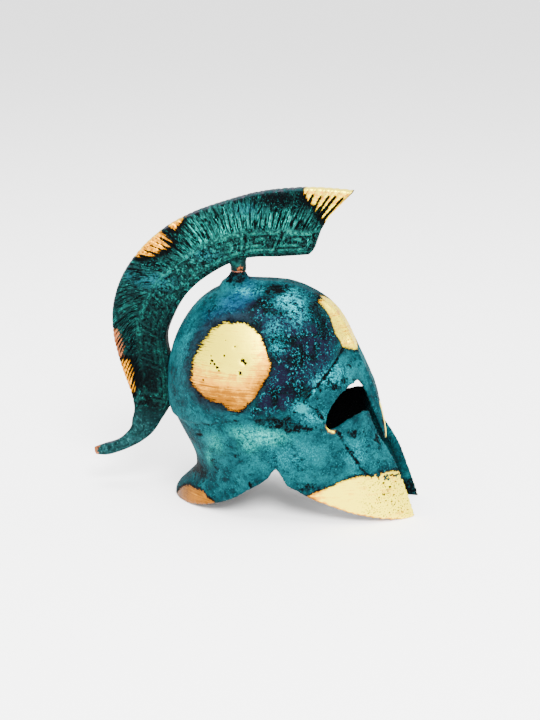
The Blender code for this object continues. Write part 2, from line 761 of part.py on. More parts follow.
def main():
    for thing in list(bpy.data.objects):
        bpy.data.objects.remove(thing, do_unlink=True)
    shell = helmet_shell()
    plume = crest()
    finish(shell, metal("shell_patina", (0.045, 0.19, 0.20), 0.45, 0.6))
    finish(plume, metal("crest_patina", (0.02, 0.15, 0.12), 0.5, 0.6))
    stand_at_origin([shell, plume])
    bpy.context.view_layer.update()


main()
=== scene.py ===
"""Looks of a small cast brass helmet: blue-green patina, bare polished patches and filed hair."""
import math
from collections import namedtuple

import bmesh
import bpy
import numpy as np
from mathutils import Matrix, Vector


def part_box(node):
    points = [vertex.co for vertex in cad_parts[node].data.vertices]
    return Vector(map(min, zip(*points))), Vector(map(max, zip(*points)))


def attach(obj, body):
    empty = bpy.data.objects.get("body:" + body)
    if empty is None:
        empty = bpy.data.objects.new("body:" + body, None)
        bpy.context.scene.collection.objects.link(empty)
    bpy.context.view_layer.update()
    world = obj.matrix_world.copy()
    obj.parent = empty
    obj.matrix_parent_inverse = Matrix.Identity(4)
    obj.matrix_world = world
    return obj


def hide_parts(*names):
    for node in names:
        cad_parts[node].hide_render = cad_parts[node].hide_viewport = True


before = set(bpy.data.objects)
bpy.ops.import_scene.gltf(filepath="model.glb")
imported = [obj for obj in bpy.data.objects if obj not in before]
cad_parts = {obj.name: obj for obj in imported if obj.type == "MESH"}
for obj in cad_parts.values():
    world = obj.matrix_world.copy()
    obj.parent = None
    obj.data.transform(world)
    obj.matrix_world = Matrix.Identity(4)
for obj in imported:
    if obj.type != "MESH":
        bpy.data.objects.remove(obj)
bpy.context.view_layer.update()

MM = 0.001


def table(row, values):
    """Rows with named columns."""
    return [row(*value) for value in values]


# Shell, in mm
SHELL_VOXEL = 0.66
SHELL_SMOOTHING = 16
HOLLOW_BACK = 2.0
HOLLOW_FRONT = 22.0
HOLLOW_TOP = 48.0
# Distance to a bare patch, for parts that it doesn't reach
OUTSIDE = -9.0

# Lines on the shell. The near side is -Y, and the grooves are on both sides.
Spot3 = namedtuple("Spot3", "x y z")
BROW_CREASE = table(Spot3, [
    (34.6, -3.6, 63.4), (33.3, -7.3, 61.6), (32.4, -11.0, 59.6), (30.2, -16.4, 56.3),
    (27.4, -20.6, 53.3), (24.6, -23.0, 50.0), (22.6, -24.4, 47.2), (21.4, -25.0, 46.2),
])
# Painted highlight along the lower side of the brow crease, where it is lit
BROW_LIGHT = table(Spot3, [
    (31.6, -14.2, 57.2), (28.5, -19.2, 53.6), (25.9, -22.4, 51.2), (23.6, -23.8, 48.2),
])
TEMPLE_CREASE = table(Spot3, [
    (21.4, -25.0, 46.4), (24.4, -24.2, 44.0), (27.1, -23.5, 41.3), (28.8, -23.0, 38.4),
])
WAIST_GROOVE = table(Spot3, [
    (-18.8, -19.6, 33.9), (-13.4, -23.4, 35.8), (-6.0, -26.6, 38.0), (1.7, -28.3, 39.8),
    (9.0, -27.9, 40.0), (17.1, -26.5, 38.2), (24.5, -24.8, 36.2), (28.9, -23.2, 35.6),
])
CHEEK_CREASE = table(Spot3, [
    (32.8, -21.3, 35.0), (34.9, -20.7, 31.2), (38.1, -20.0, 26.0), (40.9, -19.3, 21.7),
    (44.0, -18.3, 17.4),
])
JAW_SLOT = table(Spot3, [
    (1.9, -24.2, 15.4), (2.6, -24.2, 13.9), (4.2, -24.4, 12.2),
])
NAPE_MARK = table(Spot3, [
    (-17.5, -19.4, 30.3), (-14.9, -21.6, 30.9),
])
# Bare brass along the eye's lower lip and the nasal's front edge, painted pale as a highlight
EYE_LIP = table(Spot3, [
    (29.5, -22.9, 37.4), (29.8, -22.8, 36.6), (30.5, -22.5, 35.4), (31.8, -21.9, 34.9),
])
NASAL_FACE = table(Spot3, [
    (46.0, 0.2, 38.4), (47.3, 0.2, 34.0), (48.5, 0.2, 29.6), (49.3, 0.2, 26.6),
])
# The far eye's sill stands a little higher than the near one's, and less is seen through it.
FAR_SILL = table(Spot3, [
    (29.0, 20.4, 34.6), (32.5, 18.5, 35.4), (35.7, 15.8, 36.9), (38.0, 13.0, 38.0),
])
FAR_SILL_LIFT = 2.0
FAR_SILL_SPREAD = 3.4
# dark is how much darker a groove is painted; along the brow crease it is painted shade.
Groove = namedtuple("Groove", "line width depth dark")
GROOVES = table(Groove, [
    (BROW_CREASE, 0.52, 0.55, 1.20),
    (TEMPLE_CREASE, 0.60, 0.30, 0.65),
    (WAIST_GROOVE, 0.45, 0.25, 0.65),
    (CHEEK_CREASE, 0.62, 0.34, 0.98),
    (JAW_SLOT, 0.45, 0.45, 1.0),
    (NAPE_MARK, 0.40, 0.25, 0.9),
])

# Bare patches of the shell, as outlines in mm seen from the side or from the front. Above the
# cheek line the patina starts.
Spot = namedtuple("Spot", "along z")
Patches = namedtuple("Patches", "dome forehead cheek neck far_slit")
DOME_PATCH = table(Spot, [
    (-18.0, 56.3), (-17.6, 50.6), (-14.7, 47.9), (-9.4, 45.9), (-4.2, 44.8), (-1.2, 42.9),
    (1.6, 45.1), (4.5, 48.4), (7.6, 52.3), (8.9, 55.0), (10.2, 58.4), (9.0, 61.9), (7.4, 65.7),
    (4.9, 69.8), (2.7, 71.6), (0.9, 72.2), (-1.1, 71.0), (-4.0, 71.3), (-7.7, 71.0),
    (-10.9, 69.2), (-12.8, 66.2), (-15.9, 61.0),
])
FOREHEAD_PATCH = table(Spot, [
    (-1.2, 78.2), (-4.2, 75.6), (-6.4, 72.8), (-8.6, 69.0), (-9.6, 65.6), (-9.2, 62.9),
    (-6.6, 60.6), (-3.4, 59.4), (0.0, 59.6), (2.6, 62.0), (3.4, 67.0), (3.2, 72.0), (2.0, 76.4),
])
CHEEK_LINE = table(Spot, [
    (20.0, 9.4), (23.6, 11.2), (27.4, 13.1), (30.8, 14.6), (34.2, 16.4), (38.3, 17.7),
    (41.7, 18.1), (44.4, 17.7), (47.0, 18.0), (49.3, 18.2), (52.6, 17.7), (56.0, 16.5),
    (66.0, 14.0),
])
NECK_PATCH = table(Spot, [
    (-28.4, 0.6), (-27.2, 3.0), (-25.1, 5.4), (-21.9, 7.1), (-19.0, 7.2), (-15.9, 7.4),
    (-14.2, 5.8), (-11.0, 4.4), (-14.0, -2.0), (-26.0, -2.0),
])

# Stains of the shell, and a facet painted as a lit plane, as outlines in mm seen from the side
NAVY_STAIN = table(Spot, [
    (3.0, 80.5), (12.0, 81.5), (21.0, 78.5), (29.0, 71.5), (31.5, 60.0), (25.0, 49.0),
    (16.0, 43.4), (5.0, 42.5), (7.0, 48.0), (11.0, 57.0), (9.0, 63.0), (4.0, 71.0), (-2.0, 73.5),
])
BLUE_STAIN = table(Spot, [
    (-17.0, 63.0), (-14.0, 71.0), (-8.0, 78.0), (-1.0, 81.5), (4.0, 80.0), (1.0, 75.5),
    (-3.0, 72.8), (-10.0, 72.0), (-14.0, 68.0),
])
WAIST_STAIN = table(Spot, [
    (-8.0, 37.6), (0.0, 40.4), (7.7, 41.9), (15.0, 41.0), (21.0, 39.0), (26.0, 36.4),
    (21.0, 34.8), (14.0, 36.0), (7.0, 38.0), (0.0, 38.6),
])
FACET = table(Spot, [
    (18.7, 43.0), (21.6, 46.5), (22.9, 41.9),
])
# Soft blobs seen from the side: centre and radii in mm, and how strong
Blob = namedtuple("Blob", "x z wide high strength")
# Pale turquoise patina spots; those beside the brow crease and on the facet are painted highlights
BRIGHT_BLOBS = table(Blob, [
    (13.4, 78.6, 3.0, 2.0, 1.2), (16.8, 76.6, 2.6, 2.4, 1.2), (18.0, 73.5, 3.4, 2.4, 0.55),
    (-1.5, 80.4, 3.4, 0.9, 0.8), (4.4, 81.0, 2.6, 0.7, 0.8), (12.0, 64.5, 2.4, 1.6, 0.6),
    (-20.0, 58.0, 3.6, 9.0, 0.45), (11.0, 71.0, 3.0, 3.0, 0.40), (20.8, 44.2, 2.3, 2.0, 1.0),
    (31.0, 53.5, 5.0, 3.5, 0.60), (27.5, 52.5, 3.0, 1.2, 0.9), (25.0, 40.5, 5.0, 2.2, 0.5),
    (40.0, 26.0, 3.6, 5.5, 0.35), (18.0, 26.0, 8.0, 5.0, 0.30),
])
# Painted highlights in the patina's mint colour, where the lower shell turns up to the light
MINT_HIGHLIGHTS = table(Blob, [
    (7.5, 33.6, 6.5, 2.8, 1.0), (0.5, 34.2, 4.0, 2.2, 0.7), (2.6, 29.8, 3.0, 2.4, 0.6),
    (-10.0, 29.0, 3.0, 3.5, 0.45), (-13.0, 22.0, 1.2, 3.0, 0.6),
])
DARK_BLOBS = table(Blob, [
    (-2.0, 25.0, 2.2, 1.6, 0.8), (2.6, 24.0, 1.6, 1.2, 0.6), (-18.5, 14.0, 3.6, 4.0, 1.0),
    (-21.0, 12.0, 4.5, 3.0, 0.7), (9.0, 81.0, 7.0, 1.3, 1.0), (-6.0, 84.0, 5.0, 2.6, 0.85),
    (-13.0, 76.0, 3.0, 4.0, 0.4), (47.0, 46.0, 2.4, 6.0, 0.6), (44.0, 54.0, 3.0, 3.0, 0.5),
    (12.0, 30.5, 3.0, 2.5, 0.35), (-11.0, 19.0, 2.0, 5.0, 0.4), (24.0, 14.5, 4.0, 2.2, 0.55),
    (24.0, 76.0, 3.0, 3.5, 0.7), (20.0, 22.0, 4.0, 4.0, 0.3), (31.5, 50.6, 6.0, 2.6, 0.70),
    (26.5, 47.0, 3.0, 1.6, 0.6), (39.0, 33.0, 3.5, 2.4, 0.6), (46.2, 30.0, 2.2, 7.0, 0.55),
    (37.0, 55.5, 2.5, 2.0, 0.5), (26.0, 68.0, 3.0, 8.0, 0.45),
])
PIT_DEPTH = 0.30
PIT_RIM = 0.15
Pit = namedtuple("Pit", "x y z radius")
PITS = table(Pit, [
    (-10.4, -24.8, 59.4, 0.62), (-9.4, -25.4, 58.4, 0.44), (-8.3, -25.9, 57.4, 0.58),
    (-10.9, -24.9, 58.3, 0.34), (-7.6, -26.1, 56.4, 0.36), (0.8, -26.5, 60.4, 0.85),
    (1.7, -26.6, 59.6, 0.62), (0.0, -27.6, 56.3, 0.72), (-13.5, -25.1, 52.4, 0.36),
    (-2.3, -24.6, 64.7, 0.3), (-6.0, -25.3, 61.5, 0.4), (-10.8, -24.1, 60.9, 0.3),
    (-5.8, -23.6, 66.4, 0.26), (51.2, -14.6, 12.6, 0.5), (49.0, -15.8, 14.4, 0.42),
    (49.4, -16.0, 10.2, 0.4), (47.6, -16.9, 9.4, 0.34), (53.0, -13.2, 14.0, 0.34),
    (52.6, -13.8, 9.6, 0.3), (45.2, -17.8, 6.6, 0.3), (44.4, -18.0, 13.4, 0.3),
    (50.6, -15.0, 16.2, 0.4), (47.4, -16.6, 16.0, 0.3),
])

# Crest, in mm: stations from the front tip to the tail. The inner edge is at x and z, lean is
# the direction outwards in degrees from forward, half is half the thickness, and root is the
# share of the depth where the hair starts.
Station = namedtuple("Station", "x z lean depth half root")
STATIONS = table(Station, [
    (20.00, 92.77, 55.8, 27.14, 3.30, 0.37),
    (10.02, 91.79, 66.0, 26.44, 3.30, 0.38),
    (0.00, 91.13, 79.8, 23.57, 3.30, 0.41),
    (-7.49, 88.91, 94.2, 21.86, 3.30, 0.46),
    (-14.51, 84.97, 106.2, 22.37, 3.30, 0.48),
    (-20.50, 80.38, 117.9, 23.03, 3.30, 0.48),
    (-25.49, 74.79, 130.1, 23.29, 3.30, 0.49),
    (-29.33, 67.98, 141.1, 23.29, 3.30, 0.50),
    (-31.82, 60.51, 150.7, 22.21, 3.30, 0.52),
    (-30.73, 52.05, 158.4, 22.14, 3.30, 0.55),
    (-29.61, 44.01, 165.2, 19.86, 3.30, 0.60),
    (-29.80, 36.78, 170.8, 15.98, 3.30, 0.66),
    (-32.29, 31.94, 175.0, 12.22, 3.14, 0.66),
    (-34.79, 27.91, 178.0, 10.69, 2.97, 0.60),
    (-37.60, 23.56, 168.0, 8.58, 2.81, 0.55),
    (-42.12, 19.54, 145.0, 6.35, 2.64, 0.50),
    (-48.67, 15.85, 122.0, 4.47, 2.48, 0.50),
    (-55.22, 13.38, 108.0, 4.28, 2.38, 0.50),
    (-59.75, 13.14, 106.0, 2.82, 1.65, 0.50),
])
HAIR_END = 11.6
TAIL_START = 12.6
SWEEP = 2.5
STRAND_PITCH = 1.95
# How coarse the filing is along the outer edge, from the front tip in mm
Filing = namedtuple("Filing", "along coarse deep")
FILING = table(Filing, [
    (0.0, 1.40, 1.2), (22.0, 1.40, 1.2), (28.0, 1.0, 0.9), (58.0, 1.0, 0.9), (62.0, 1.30, 1.2),
    (86.0, 1.30, 1.2), (92.0, 1.15, 0.45), (112.0, 1.0, 0.45), (115.0, 0.95, 1.3),
    (160.0, 0.95, 1.3),
])
COLUMN_STEP = 0.24
TAIL_COLUMNS = 120
BAND_ROWS = 34
HAIR_ROWS = 18
# Half the thickness and the front end's shift, in shares of the station's own half thickness
# and in mm. Up to 1 the share runs over the band, and from there to 2 over the hair.
Profile = namedtuple("Profile", "share half tail shift")
PROFILE = table(Profile, [
    (0.00, 0.74, 0.45, 0.0),
    (0.20, 1.00, 0.75, 0.5),
    (0.96, 1.00, 1.00, -1.7),
    (1.03, 0.90, 1.00, -1.75),
    (1.38, 0.87, 0.90, -2.35),
    (2.00, 0.84, 0.50, 0.0),
])
SHIFT_FADE = 9.0
# Middle of the key's rib, in cells along the band and up it
KEY_PATH = [
    (5.1, 0.0), (0.0, 0.0), (0.0, 5.0), (5.0, 5.0), (5.0, 1.35), (2.0, 1.35), (2.0, 3.4),
    (3.5, 3.4),
]
KEY_CELLS_LONG = 6.0
KEY_CELLS_HIGH = 5.0
KEY_LOW = 0.27
KEY_HIGH = 0.90
KEY_RIB = 0.80
KEY_RISE = 0.38
KEY_FIRST = 0.28
KEY_LAST = 11.2
KEY_UNITS = 8
KEY_SHARE = 0.3
KEY_HEIGHT = 5.2
KEY_EDGE = 0.16
FIRST_GROOVE = 1.6
TOP_ROUNDING = 0.35
# How far the hair reaches in mm, for marks along it
HAIR_REACH = 11.0
TAIL_COPPER_X = -58.8

# Bare patches and stained patches of the crest, and where its painted shade and sheen lie, in mm,
# seen from the side
TIP_PATCH = table(Spot, [
    (18.1, 118.0), (38.0, 118.0), (33.0, 112.6), (28.5, 106.6), (25.8, 104.4), (24.9, 105.2),
    (23.5, 107.2), (22.3, 109.7), (20.3, 111.3), (18.7, 112.9),
])
UPPER_PATCH = table(Spot, [
    (-40.9, 89.6), (-43.0, 91.0), (-38.4, 96.0), (-32.0, 101.4), (-24.0, 105.6), (-25.0, 103.5),
    (-26.7, 100.8), (-27.6, 99.6), (-30.4, 99.2), (-31.2, 98.0), (-29.6, 96.4), (-28.6, 94.6),
    (-30.4, 93.0), (-33.8, 91.4), (-37.0, 90.2),
])
UPPER_STROKE = table(Spot3, [
    (-31.2, 0.0, 100.2), (-28.6, 0.0, 98.0), (-25.0, 0.0, 94.8),
])
COPPER_PATCH = table(Spot, [
    (-52.6, 63.5), (-49.2, 63.0), (-47.8, 60.6), (-47.2, 57.0), (-47.4, 54.4), (-48.2, 52.4),
    (-51.0, 52.6), (-53.0, 58.0),
])
BACK_PATCH = table(Spot, [
    (-48.6, 51.4), (-45.4, 51.6), (-44.2, 48.6), (-43.4, 45.0), (-43.6, 41.4), (-44.8, 38.4),
    (-47.0, 39.0), (-50.0, 47.0),
])
CREST_DARK = table(Blob, [
    (9.0, 112.0, 10.0, 4.0, 1.0), (16.5, 112.0, 2.6, 5.0, 1.0), (0.0, 113.0, 5.0, 2.2, 0.8),
    (-27.5, 96.0, 3.6, 3.2, 1.0), (-36.0, 87.6, 6.0, 2.4, 0.9), (-44.0, 57.0, 4.6, 6.0, 0.8),
    (-42.0, 44.0, 3.6, 7.0, 0.95), (-39.0, 36.5, 3.0, 4.0, 0.9), (-36.0, 42.0, 5.0, 8.0, 0.6),
    (-37.0, 56.0, 4.0, 8.0, 0.5), (-27.0, 78.0, 3.0, 3.0, 0.7), (4.0, 101.6, 3.2, 1.6, 0.9),
    (-33.5, 60.0, 3.5, 15.0, 0.50), (-38.0, 44.0, 6.0, 9.0, 0.75), (-38.5, 66.0, 5.0, 6.0, 0.40),
    (-36.0, 33.0, 3.0, 4.0, 0.50), (22.0, 92.5, 3.0, 1.5, 0.6), (-2.2, 97.8, 0.9, 2.0, 1.1),
    (21.8, 99.2, 0.8, 2.2, 1.1), (-1.0, 100.6, 2.8, 0.9, 1.0),
])
# Broad shade on the crest, deepest towards the tail's root
CREST_GLOOM = table(Blob, [
    (-34.0, 64.0, 7.0, 14.0, 0.85), (-39.0, 48.0, 9.0, 13.0, 1.1), (-38.0, 32.0, 6.0, 8.0, 1.1),
    (10.0, 113.0, 16.0, 3.4, 0.8), (-46.0, 70.0, 5.0, 8.0, 0.4),
])
CREST_CYAN = table(Blob, [
    (-36.0, 81.5, 6.0, 2.6, 1.0), (-30.5, 80.0, 3.0, 1.6, 0.7), (-16.0, 91.5, 5.0, 1.6, 0.8),
    (-45.0, 83.0, 2.4, 1.6, 0.6), (-2.0, 108.0, 5.0, 2.4, 0.6),
])
# Where the hair carries its painted sheen and glints
CREST_SHEEN = table(Blob, [
    (-6.0, 100.0, 9.0, 7.0, 0.8), (-18.0, 97.0, 7.0, 6.0, 0.9), (9.0, 104.0, 8.0, 4.0, 0.7),
    (20.0, 98.0, 6.0, 3.0, 0.6),
])

# Post under the crest and the braze seam at its foot, as oval rings in mm
POST_X = -5.34
POST_COPPER = Spot3(-4.3, -2.7, 86.7)
POST_COPPER_REACH = 1.1
Ring = namedtuple("Ring", "long wide shift z")
POST_RINGS = table(Ring, [
    (2.70, 2.70, 0.0, 85.95),
    (2.75, 2.72, 0.0, 87.2),
    (3.10, 2.80, -0.4, 88.8),
    (4.6, 2.86, -1.6, 90.2),
    (6.4, 2.86, -3.0, 91.4),
])
SEAM_RINGS = table(Ring, [
    (2.35, 2.35, 0.0, 85.35),
    (2.62, 2.62, 0.0, 85.55),
    (2.72, 2.72, 0.0, 85.8),
    (2.62, 2.62, 0.0, 86.05),
    (2.35, 2.35, 0.0, 86.2),
])

# Room, in metres and degrees
FLOOR_REACH = 12.0
ROOM_LIGHT = 2.4
LAMP_AIM = Vector((0.0, 0.0, 0.055))
Lamp = namedtuple("Lamp", "name x y z size watts")
LAMPS = table(Lamp, [
    ("key", 0.28, -0.75, 0.80, 0.50, 38.0),
    ("top", -0.05, -0.10, 0.95, 0.60, 16.0),
])
CAMERA_AZIMUTH = 9.0
CAMERA_ELEVATION = 17.0
CAMERA_DISTANCE = 0.5
CAMERA_AIM = Vector((0.00595, 0.0, 0.053))
CAMERA_LENS = 69.45
CAMERA_SENSOR = 36.0


def lattice(cells, seed):
    """A fixed value in -1 to 1 for each whole-number cell."""
    mixed = cells[..., 0] * 73856093 ^ cells[..., 1] * 19349663 ^ cells[..., 2] * 83492791
    mixed = mixed ^ seed * 2654435761
    mixed = (mixed ^ (mixed >> 13)) * 1274126177
    mixed = mixed ^ (mixed >> 16)
    return (mixed & 0xFFFF) / 32767.5 - 1.0


def lumps(points, size, seed):
    """Smooth noise in -1 to 1 at points in mm, with lumps of about that size."""
    place = points / size
    cell = np.floor(place).astype(np.int64)
    part = place - cell
    part = part * part * (3.0 - 2.0 * part)
    total = np.zeros(points.shape[:-1])
    for corner in range(8):
        step = np.array([corner & 1, corner >> 1 & 1, corner >> 2 & 1])
        weight = np.prod(np.where(step == 1, part, 1.0 - part), axis=-1)
        total += weight * lattice(cell + step, seed)
    return total


def layers(points, size, count, seed):
    """Lumps laid over each other, each layer finer and weaker than the last."""
    total = np.zeros(points.shape[:-1])
    for number in range(count):
        total += lumps(points, size / 2 ** number, seed + number) * 0.55 ** number
    return total


def rise(value, low, high):
    """0 below low, 1 above high and smooth between them."""
    part = np.clip((value - low) / (high - low), 0.0, 1.0)
    return part * part * (3.0 - 2.0 * part)


def run_distance(points, start, end):
    """Distance in mm to one straight run."""
    run = end - start
    away = points - start
    part = np.clip(away @ run / (run @ run), 0.0, 1.0)
    return np.linalg.norm(away - part[:, None] * run, axis=1)


def inside_by(points, outline):
    """Distance in mm to an outline in the plane, positive inside it."""
    outline = np.asarray(outline, float)
    nearest = np.full(len(points), 1e9)
    crossings = np.zeros(len(points), int)
    for start, end in zip(outline, np.roll(outline, -1, axis=0)):
        nearest = np.minimum(nearest, run_distance(points, start, end))
        spans = (points[:, 1] > start[1]) != (points[:, 1] > end[1])
        along, drop = end - start
        drop = drop if abs(drop) > 1e-9 else 1e-9
        meets = start[0] + (points[:, 1] - start[1]) / drop * along
        crossings += spans & (points[:, 0] < meets)
    return np.where(crossings % 2 == 1, nearest, -nearest)


def rounded(points, outline, radius):
    """As inside_by, with the outline's corners rounded."""
    outline = np.asarray(outline, float)
    arms = outline - outline.mean(axis=0)
    reach = np.linalg.norm(arms, axis=1, keepdims=True)
    return inside_by(points, outline - arms * radius / reach) + radius


def line_distance(points, line):
    """Distance in mm to a line of straight runs in space."""
    line = np.asarray(line, float)
    return np.minimum.reduce([run_distance(points, *ends) for ends in zip(line, line[1:])])


def blobs(points, rows):
    """The strongest of some soft blobs at points in the X and Z plane."""
    total = np.zeros(len(points))
    for row in rows:
        reach = ((points[:, 0] - row.x) / row.wide) ** 2 + ((points[:, 1] - row.z) / row.high) ** 2
        total = np.maximum(total, row.strength * np.exp(-reach * 0.9))
    return total


def column(rows, name):
    return np.array([getattr(row, name) for row in rows])


def read_off(rows, name, at):
    """A column of a table at values of its first column, straight between the rows."""
    return np.interp(at, [row[0] for row in rows], column(rows, name))


def read_stations(name, at):
    """A column of the stations at fractional rows, on a smooth curve through every row."""
    values = column(STATIONS, name)
    last = len(values) - 1
    at = np.clip(np.asarray(at, float), 0.0, last)
    row = np.minimum(at.astype(int), last - 1)
    part = at - row
    start = values[row]
    end = values[row + 1]
    leaving = (end - values[np.maximum(row - 1, 0)]) / 2.0
    arriving = (values[np.minimum(row + 2, last)] - start) / 2.0
    square = part * part
    cube = square * part
    ends = start * (2 * cube - 3 * square + 1) + end * (3 * square - 2 * cube)
    return ends + leaving * (cube - 2 * square + part) + arriving * (cube - square)


def new_piece(name, mesh):
    piece = bpy.data.objects.new(name, mesh)
    bpy.context.scene.collection.objects.link(piece)
    return piece


def read_points(mesh):
    flat = np.empty(len(mesh.vertices) * 3)
    mesh.vertices.foreach_get("co", flat)
    return flat.reshape(-1, 3) / MM


def write_points(mesh, points):
    mesh.vertices.foreach_set("co", (points * MM).astype(np.float32).ravel())
    mesh.update()


def read_normals(mesh):
    flat = np.empty(len(mesh.vertices) * 3, np.float32)
    mesh.vertex_normals.foreach_get("vector", flat)
    return flat.reshape(-1, 3).astype(float)


def smooth(mesh, rounds):
    """Even out facets and steps without shrinking the form."""
    points = read_points(mesh)
    flat = np.empty(len(mesh.edges) * 2, np.int64)
    mesh.edges.foreach_get("vertices", flat)
    ends = flat.reshape(-1, 2)
    count = len(points)
    ties = np.bincount(ends.ravel(), minlength=count)
    for number in range(rounds * 2):
        factor = 0.5 if number % 2 == 0 else -0.52
        around = np.empty_like(points)
        for axis in range(3):
            near = np.bincount(ends[:, 0], points[ends[:, 1], axis], count)
            far = np.bincount(ends[:, 1], points[ends[:, 0], axis], count)
            around[:, axis] = near + far
        points = points + factor * (around / np.maximum(ties, 1)[:, None] - points)
    write_points(mesh, points)


def keep_in_box(points, node):
    low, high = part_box(node)
    return np.clip(points, np.array(low) / MM + 0.01, np.array(high) / MM - 0.01)


def tell(mesh, **values):
    """Store numbers per vertex, for the materials to read."""
    for name, value in values.items():
        layer = mesh.attributes.new(name, "FLOAT", "POINT")
        layer.data.foreach_set("value", value.astype(np.float32))


def fine_copy(node, voxel):
    """Even fine mesh of a CAD node, in the row frame."""
    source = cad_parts[node]
    mesh = source.data.copy()
    mesh.transform(source.matrix_world)
    mesh.materials.clear()
    welded = bmesh.new()
    welded.from_mesh(mesh)
    bmesh.ops.remove_doubles(welded, verts=welded.verts, dist=0.001 * MM)
    welded.to_mesh(mesh)
    welded.free()
    piece = new_piece("fine_copy", mesh)
    modifier = piece.modifiers.new("voxels", "REMESH")
    modifier.mode = "VOXEL"
    modifier.voxel_size = voxel * MM
    depsgraph = bpy.context.evaluated_depsgraph_get()
    fine = bpy.data.meshes.new_from_object(piece.evaluated_get(depsgraph))
    bpy.data.objects.remove(piece, do_unlink=True)
    return fine


def inner_side(points, normals):
    """1 on the inside of the shell, where the surface faces the middle of the hollow."""
    middle = np.stack([
        points[:, 0] - np.clip(points[:, 0], HOLLOW_BACK, HOLLOW_FRONT),
        points[:, 1],
        np.clip(points[:, 2] - HOLLOW_TOP, 0.0, None),
    ], axis=1)
    middle /= np.maximum(np.linalg.norm(middle, axis=1, keepdims=True), 1e-6)
    within = rise(-(normals * middle).sum(axis=1), 0.05, 0.45)
    far_cheek = rise(points[:, 0], 38.0, 44.0) * rise(points[:, 1], 3.0, 7.0)
    return within * (1.0 - 0.75 * far_cheek)


def bare_patches(points, normals):
    """Distance in mm into each bare patch, and 1 on the far cheek's edge along the face slit."""
    x, y, z = points.T
    side = points[:, [0, 2]]
    wobble = 0.5 * layers(points, 4.5, 2, 51)
    dome = rounded(side, DOME_PATCH, 5.0) + wobble
    forehead = np.where(x > 12.0, rounded(points[:, [1, 2]], FOREHEAD_PATCH, 2.0) + wobble, OUTSIDE)
    cheek = read_off(CHEEK_LINE, "z", x) - z
    cheek = np.where(x > 20.0, cheek, OUTSIDE)
    neck = np.where(x < 0.0, inside_by(side, NECK_PATCH), OUTSIDE)
    fringe = rise(-cheek, -3.4, -0.4) * rise(x, 42.0, 47.0)
    fringe *= rise(lumps(points, 1.1, 61), 0.04, 0.24)
    specks = rise(lumps(points, 0.9, 62), 0.40, 0.54) * rise(x, 41.0, 47.0) * rise(z, 5.0, 9.0)
    spotted = np.maximum(fringe, specks)
    far_slit = rise(y, 2.0, 5.0) * rise(0.35 - normals[:, 1], 0.0, 0.2)
    cheek = cheek * (1.0 - spotted) - 0.9 * spotted - 30.0 * far_slit
    return Patches(dome, forehead, cheek, neck, far_slit)


def gold_tints(points, normals, patches):
    """Tone of the bare metal with its painted shade, how freckled and streaked it is, and the
    painted highlight on its bright rims.
    """
    x, _, z = points.T
    # Painted shade: the bare metal is oranger and darker low on the dome, at the back and on faces
    # turned down.
    dome = rise(-z, -62.0, -46.0) + 0.5 * rise(x, 2.0, 9.0)
    neck = 1.15 + 0.35 * rise(-x, 20.0, 28.0)
    downward_face_shade = 0.6 * rise(-normals[:, 2], 0.05, 0.45)
    jaw = 0.10 + 0.55 * rise(-x, -31.0, -23.0) + 0.20 * rise(-patches.cheek, -1.6, 0.0) + downward_face_shade
    warm = np.where(patches.dome > -2.0, dome, 0.15)
    warm = np.where(patches.neck > -2.0, neck, warm)
    warm = np.where(patches.cheek > -2.0, jaw, warm)
    warm = np.where(patches.forehead > -2.0, 0.22, warm)
    lip = line_distance(points, EYE_LIP) + 0.04 * ((x - 30.6) ** 2 + (z - 35.8) ** 2)
    nose = line_distance(points, NASAL_FACE) - 1.3 + rise(0.75 - normals[:, 0], 0.0, 0.3)
    freckle = rise(patches.cheek, 0.3, 1.0) * rise(x, 38.0, 47.0)
    freckle += 0.7 * rise(patches.forehead, 0.0, 1.0)
    return {
        "warm": warm,
        "freckle": freckle,
        "drag": 1.0 + 4.5 * rise(-x - 0.35 * z, -22.0, -8.0) * (patches.dome > -5.0),
        "bare_rim_highlight": np.maximum(rise(-lip, -0.85, -0.38), rise(-nose, -0.5, 0.4)),
    }


def pressed(points, folded):
    """Depth in mm of the creases and casting pits, and how dark the creases are."""
    sink = np.zeros(len(points))
    dark = np.zeros(len(points))
    for groove in GROOVES:
        reach = line_distance(folded, groove.line) / groove.width
        sink += groove.depth * np.exp(-reach ** 2)
        dark = np.maximum(dark, groove.dark * np.exp(-(reach * 0.75) ** 2))
    for pit in PITS:
        reach = np.linalg.norm(points - [pit.x, pit.y, pit.z], axis=1) / (pit.radius + PIT_RIM)
        sink += PIT_DEPTH * np.exp(-reach ** 2)
    return sink, dark


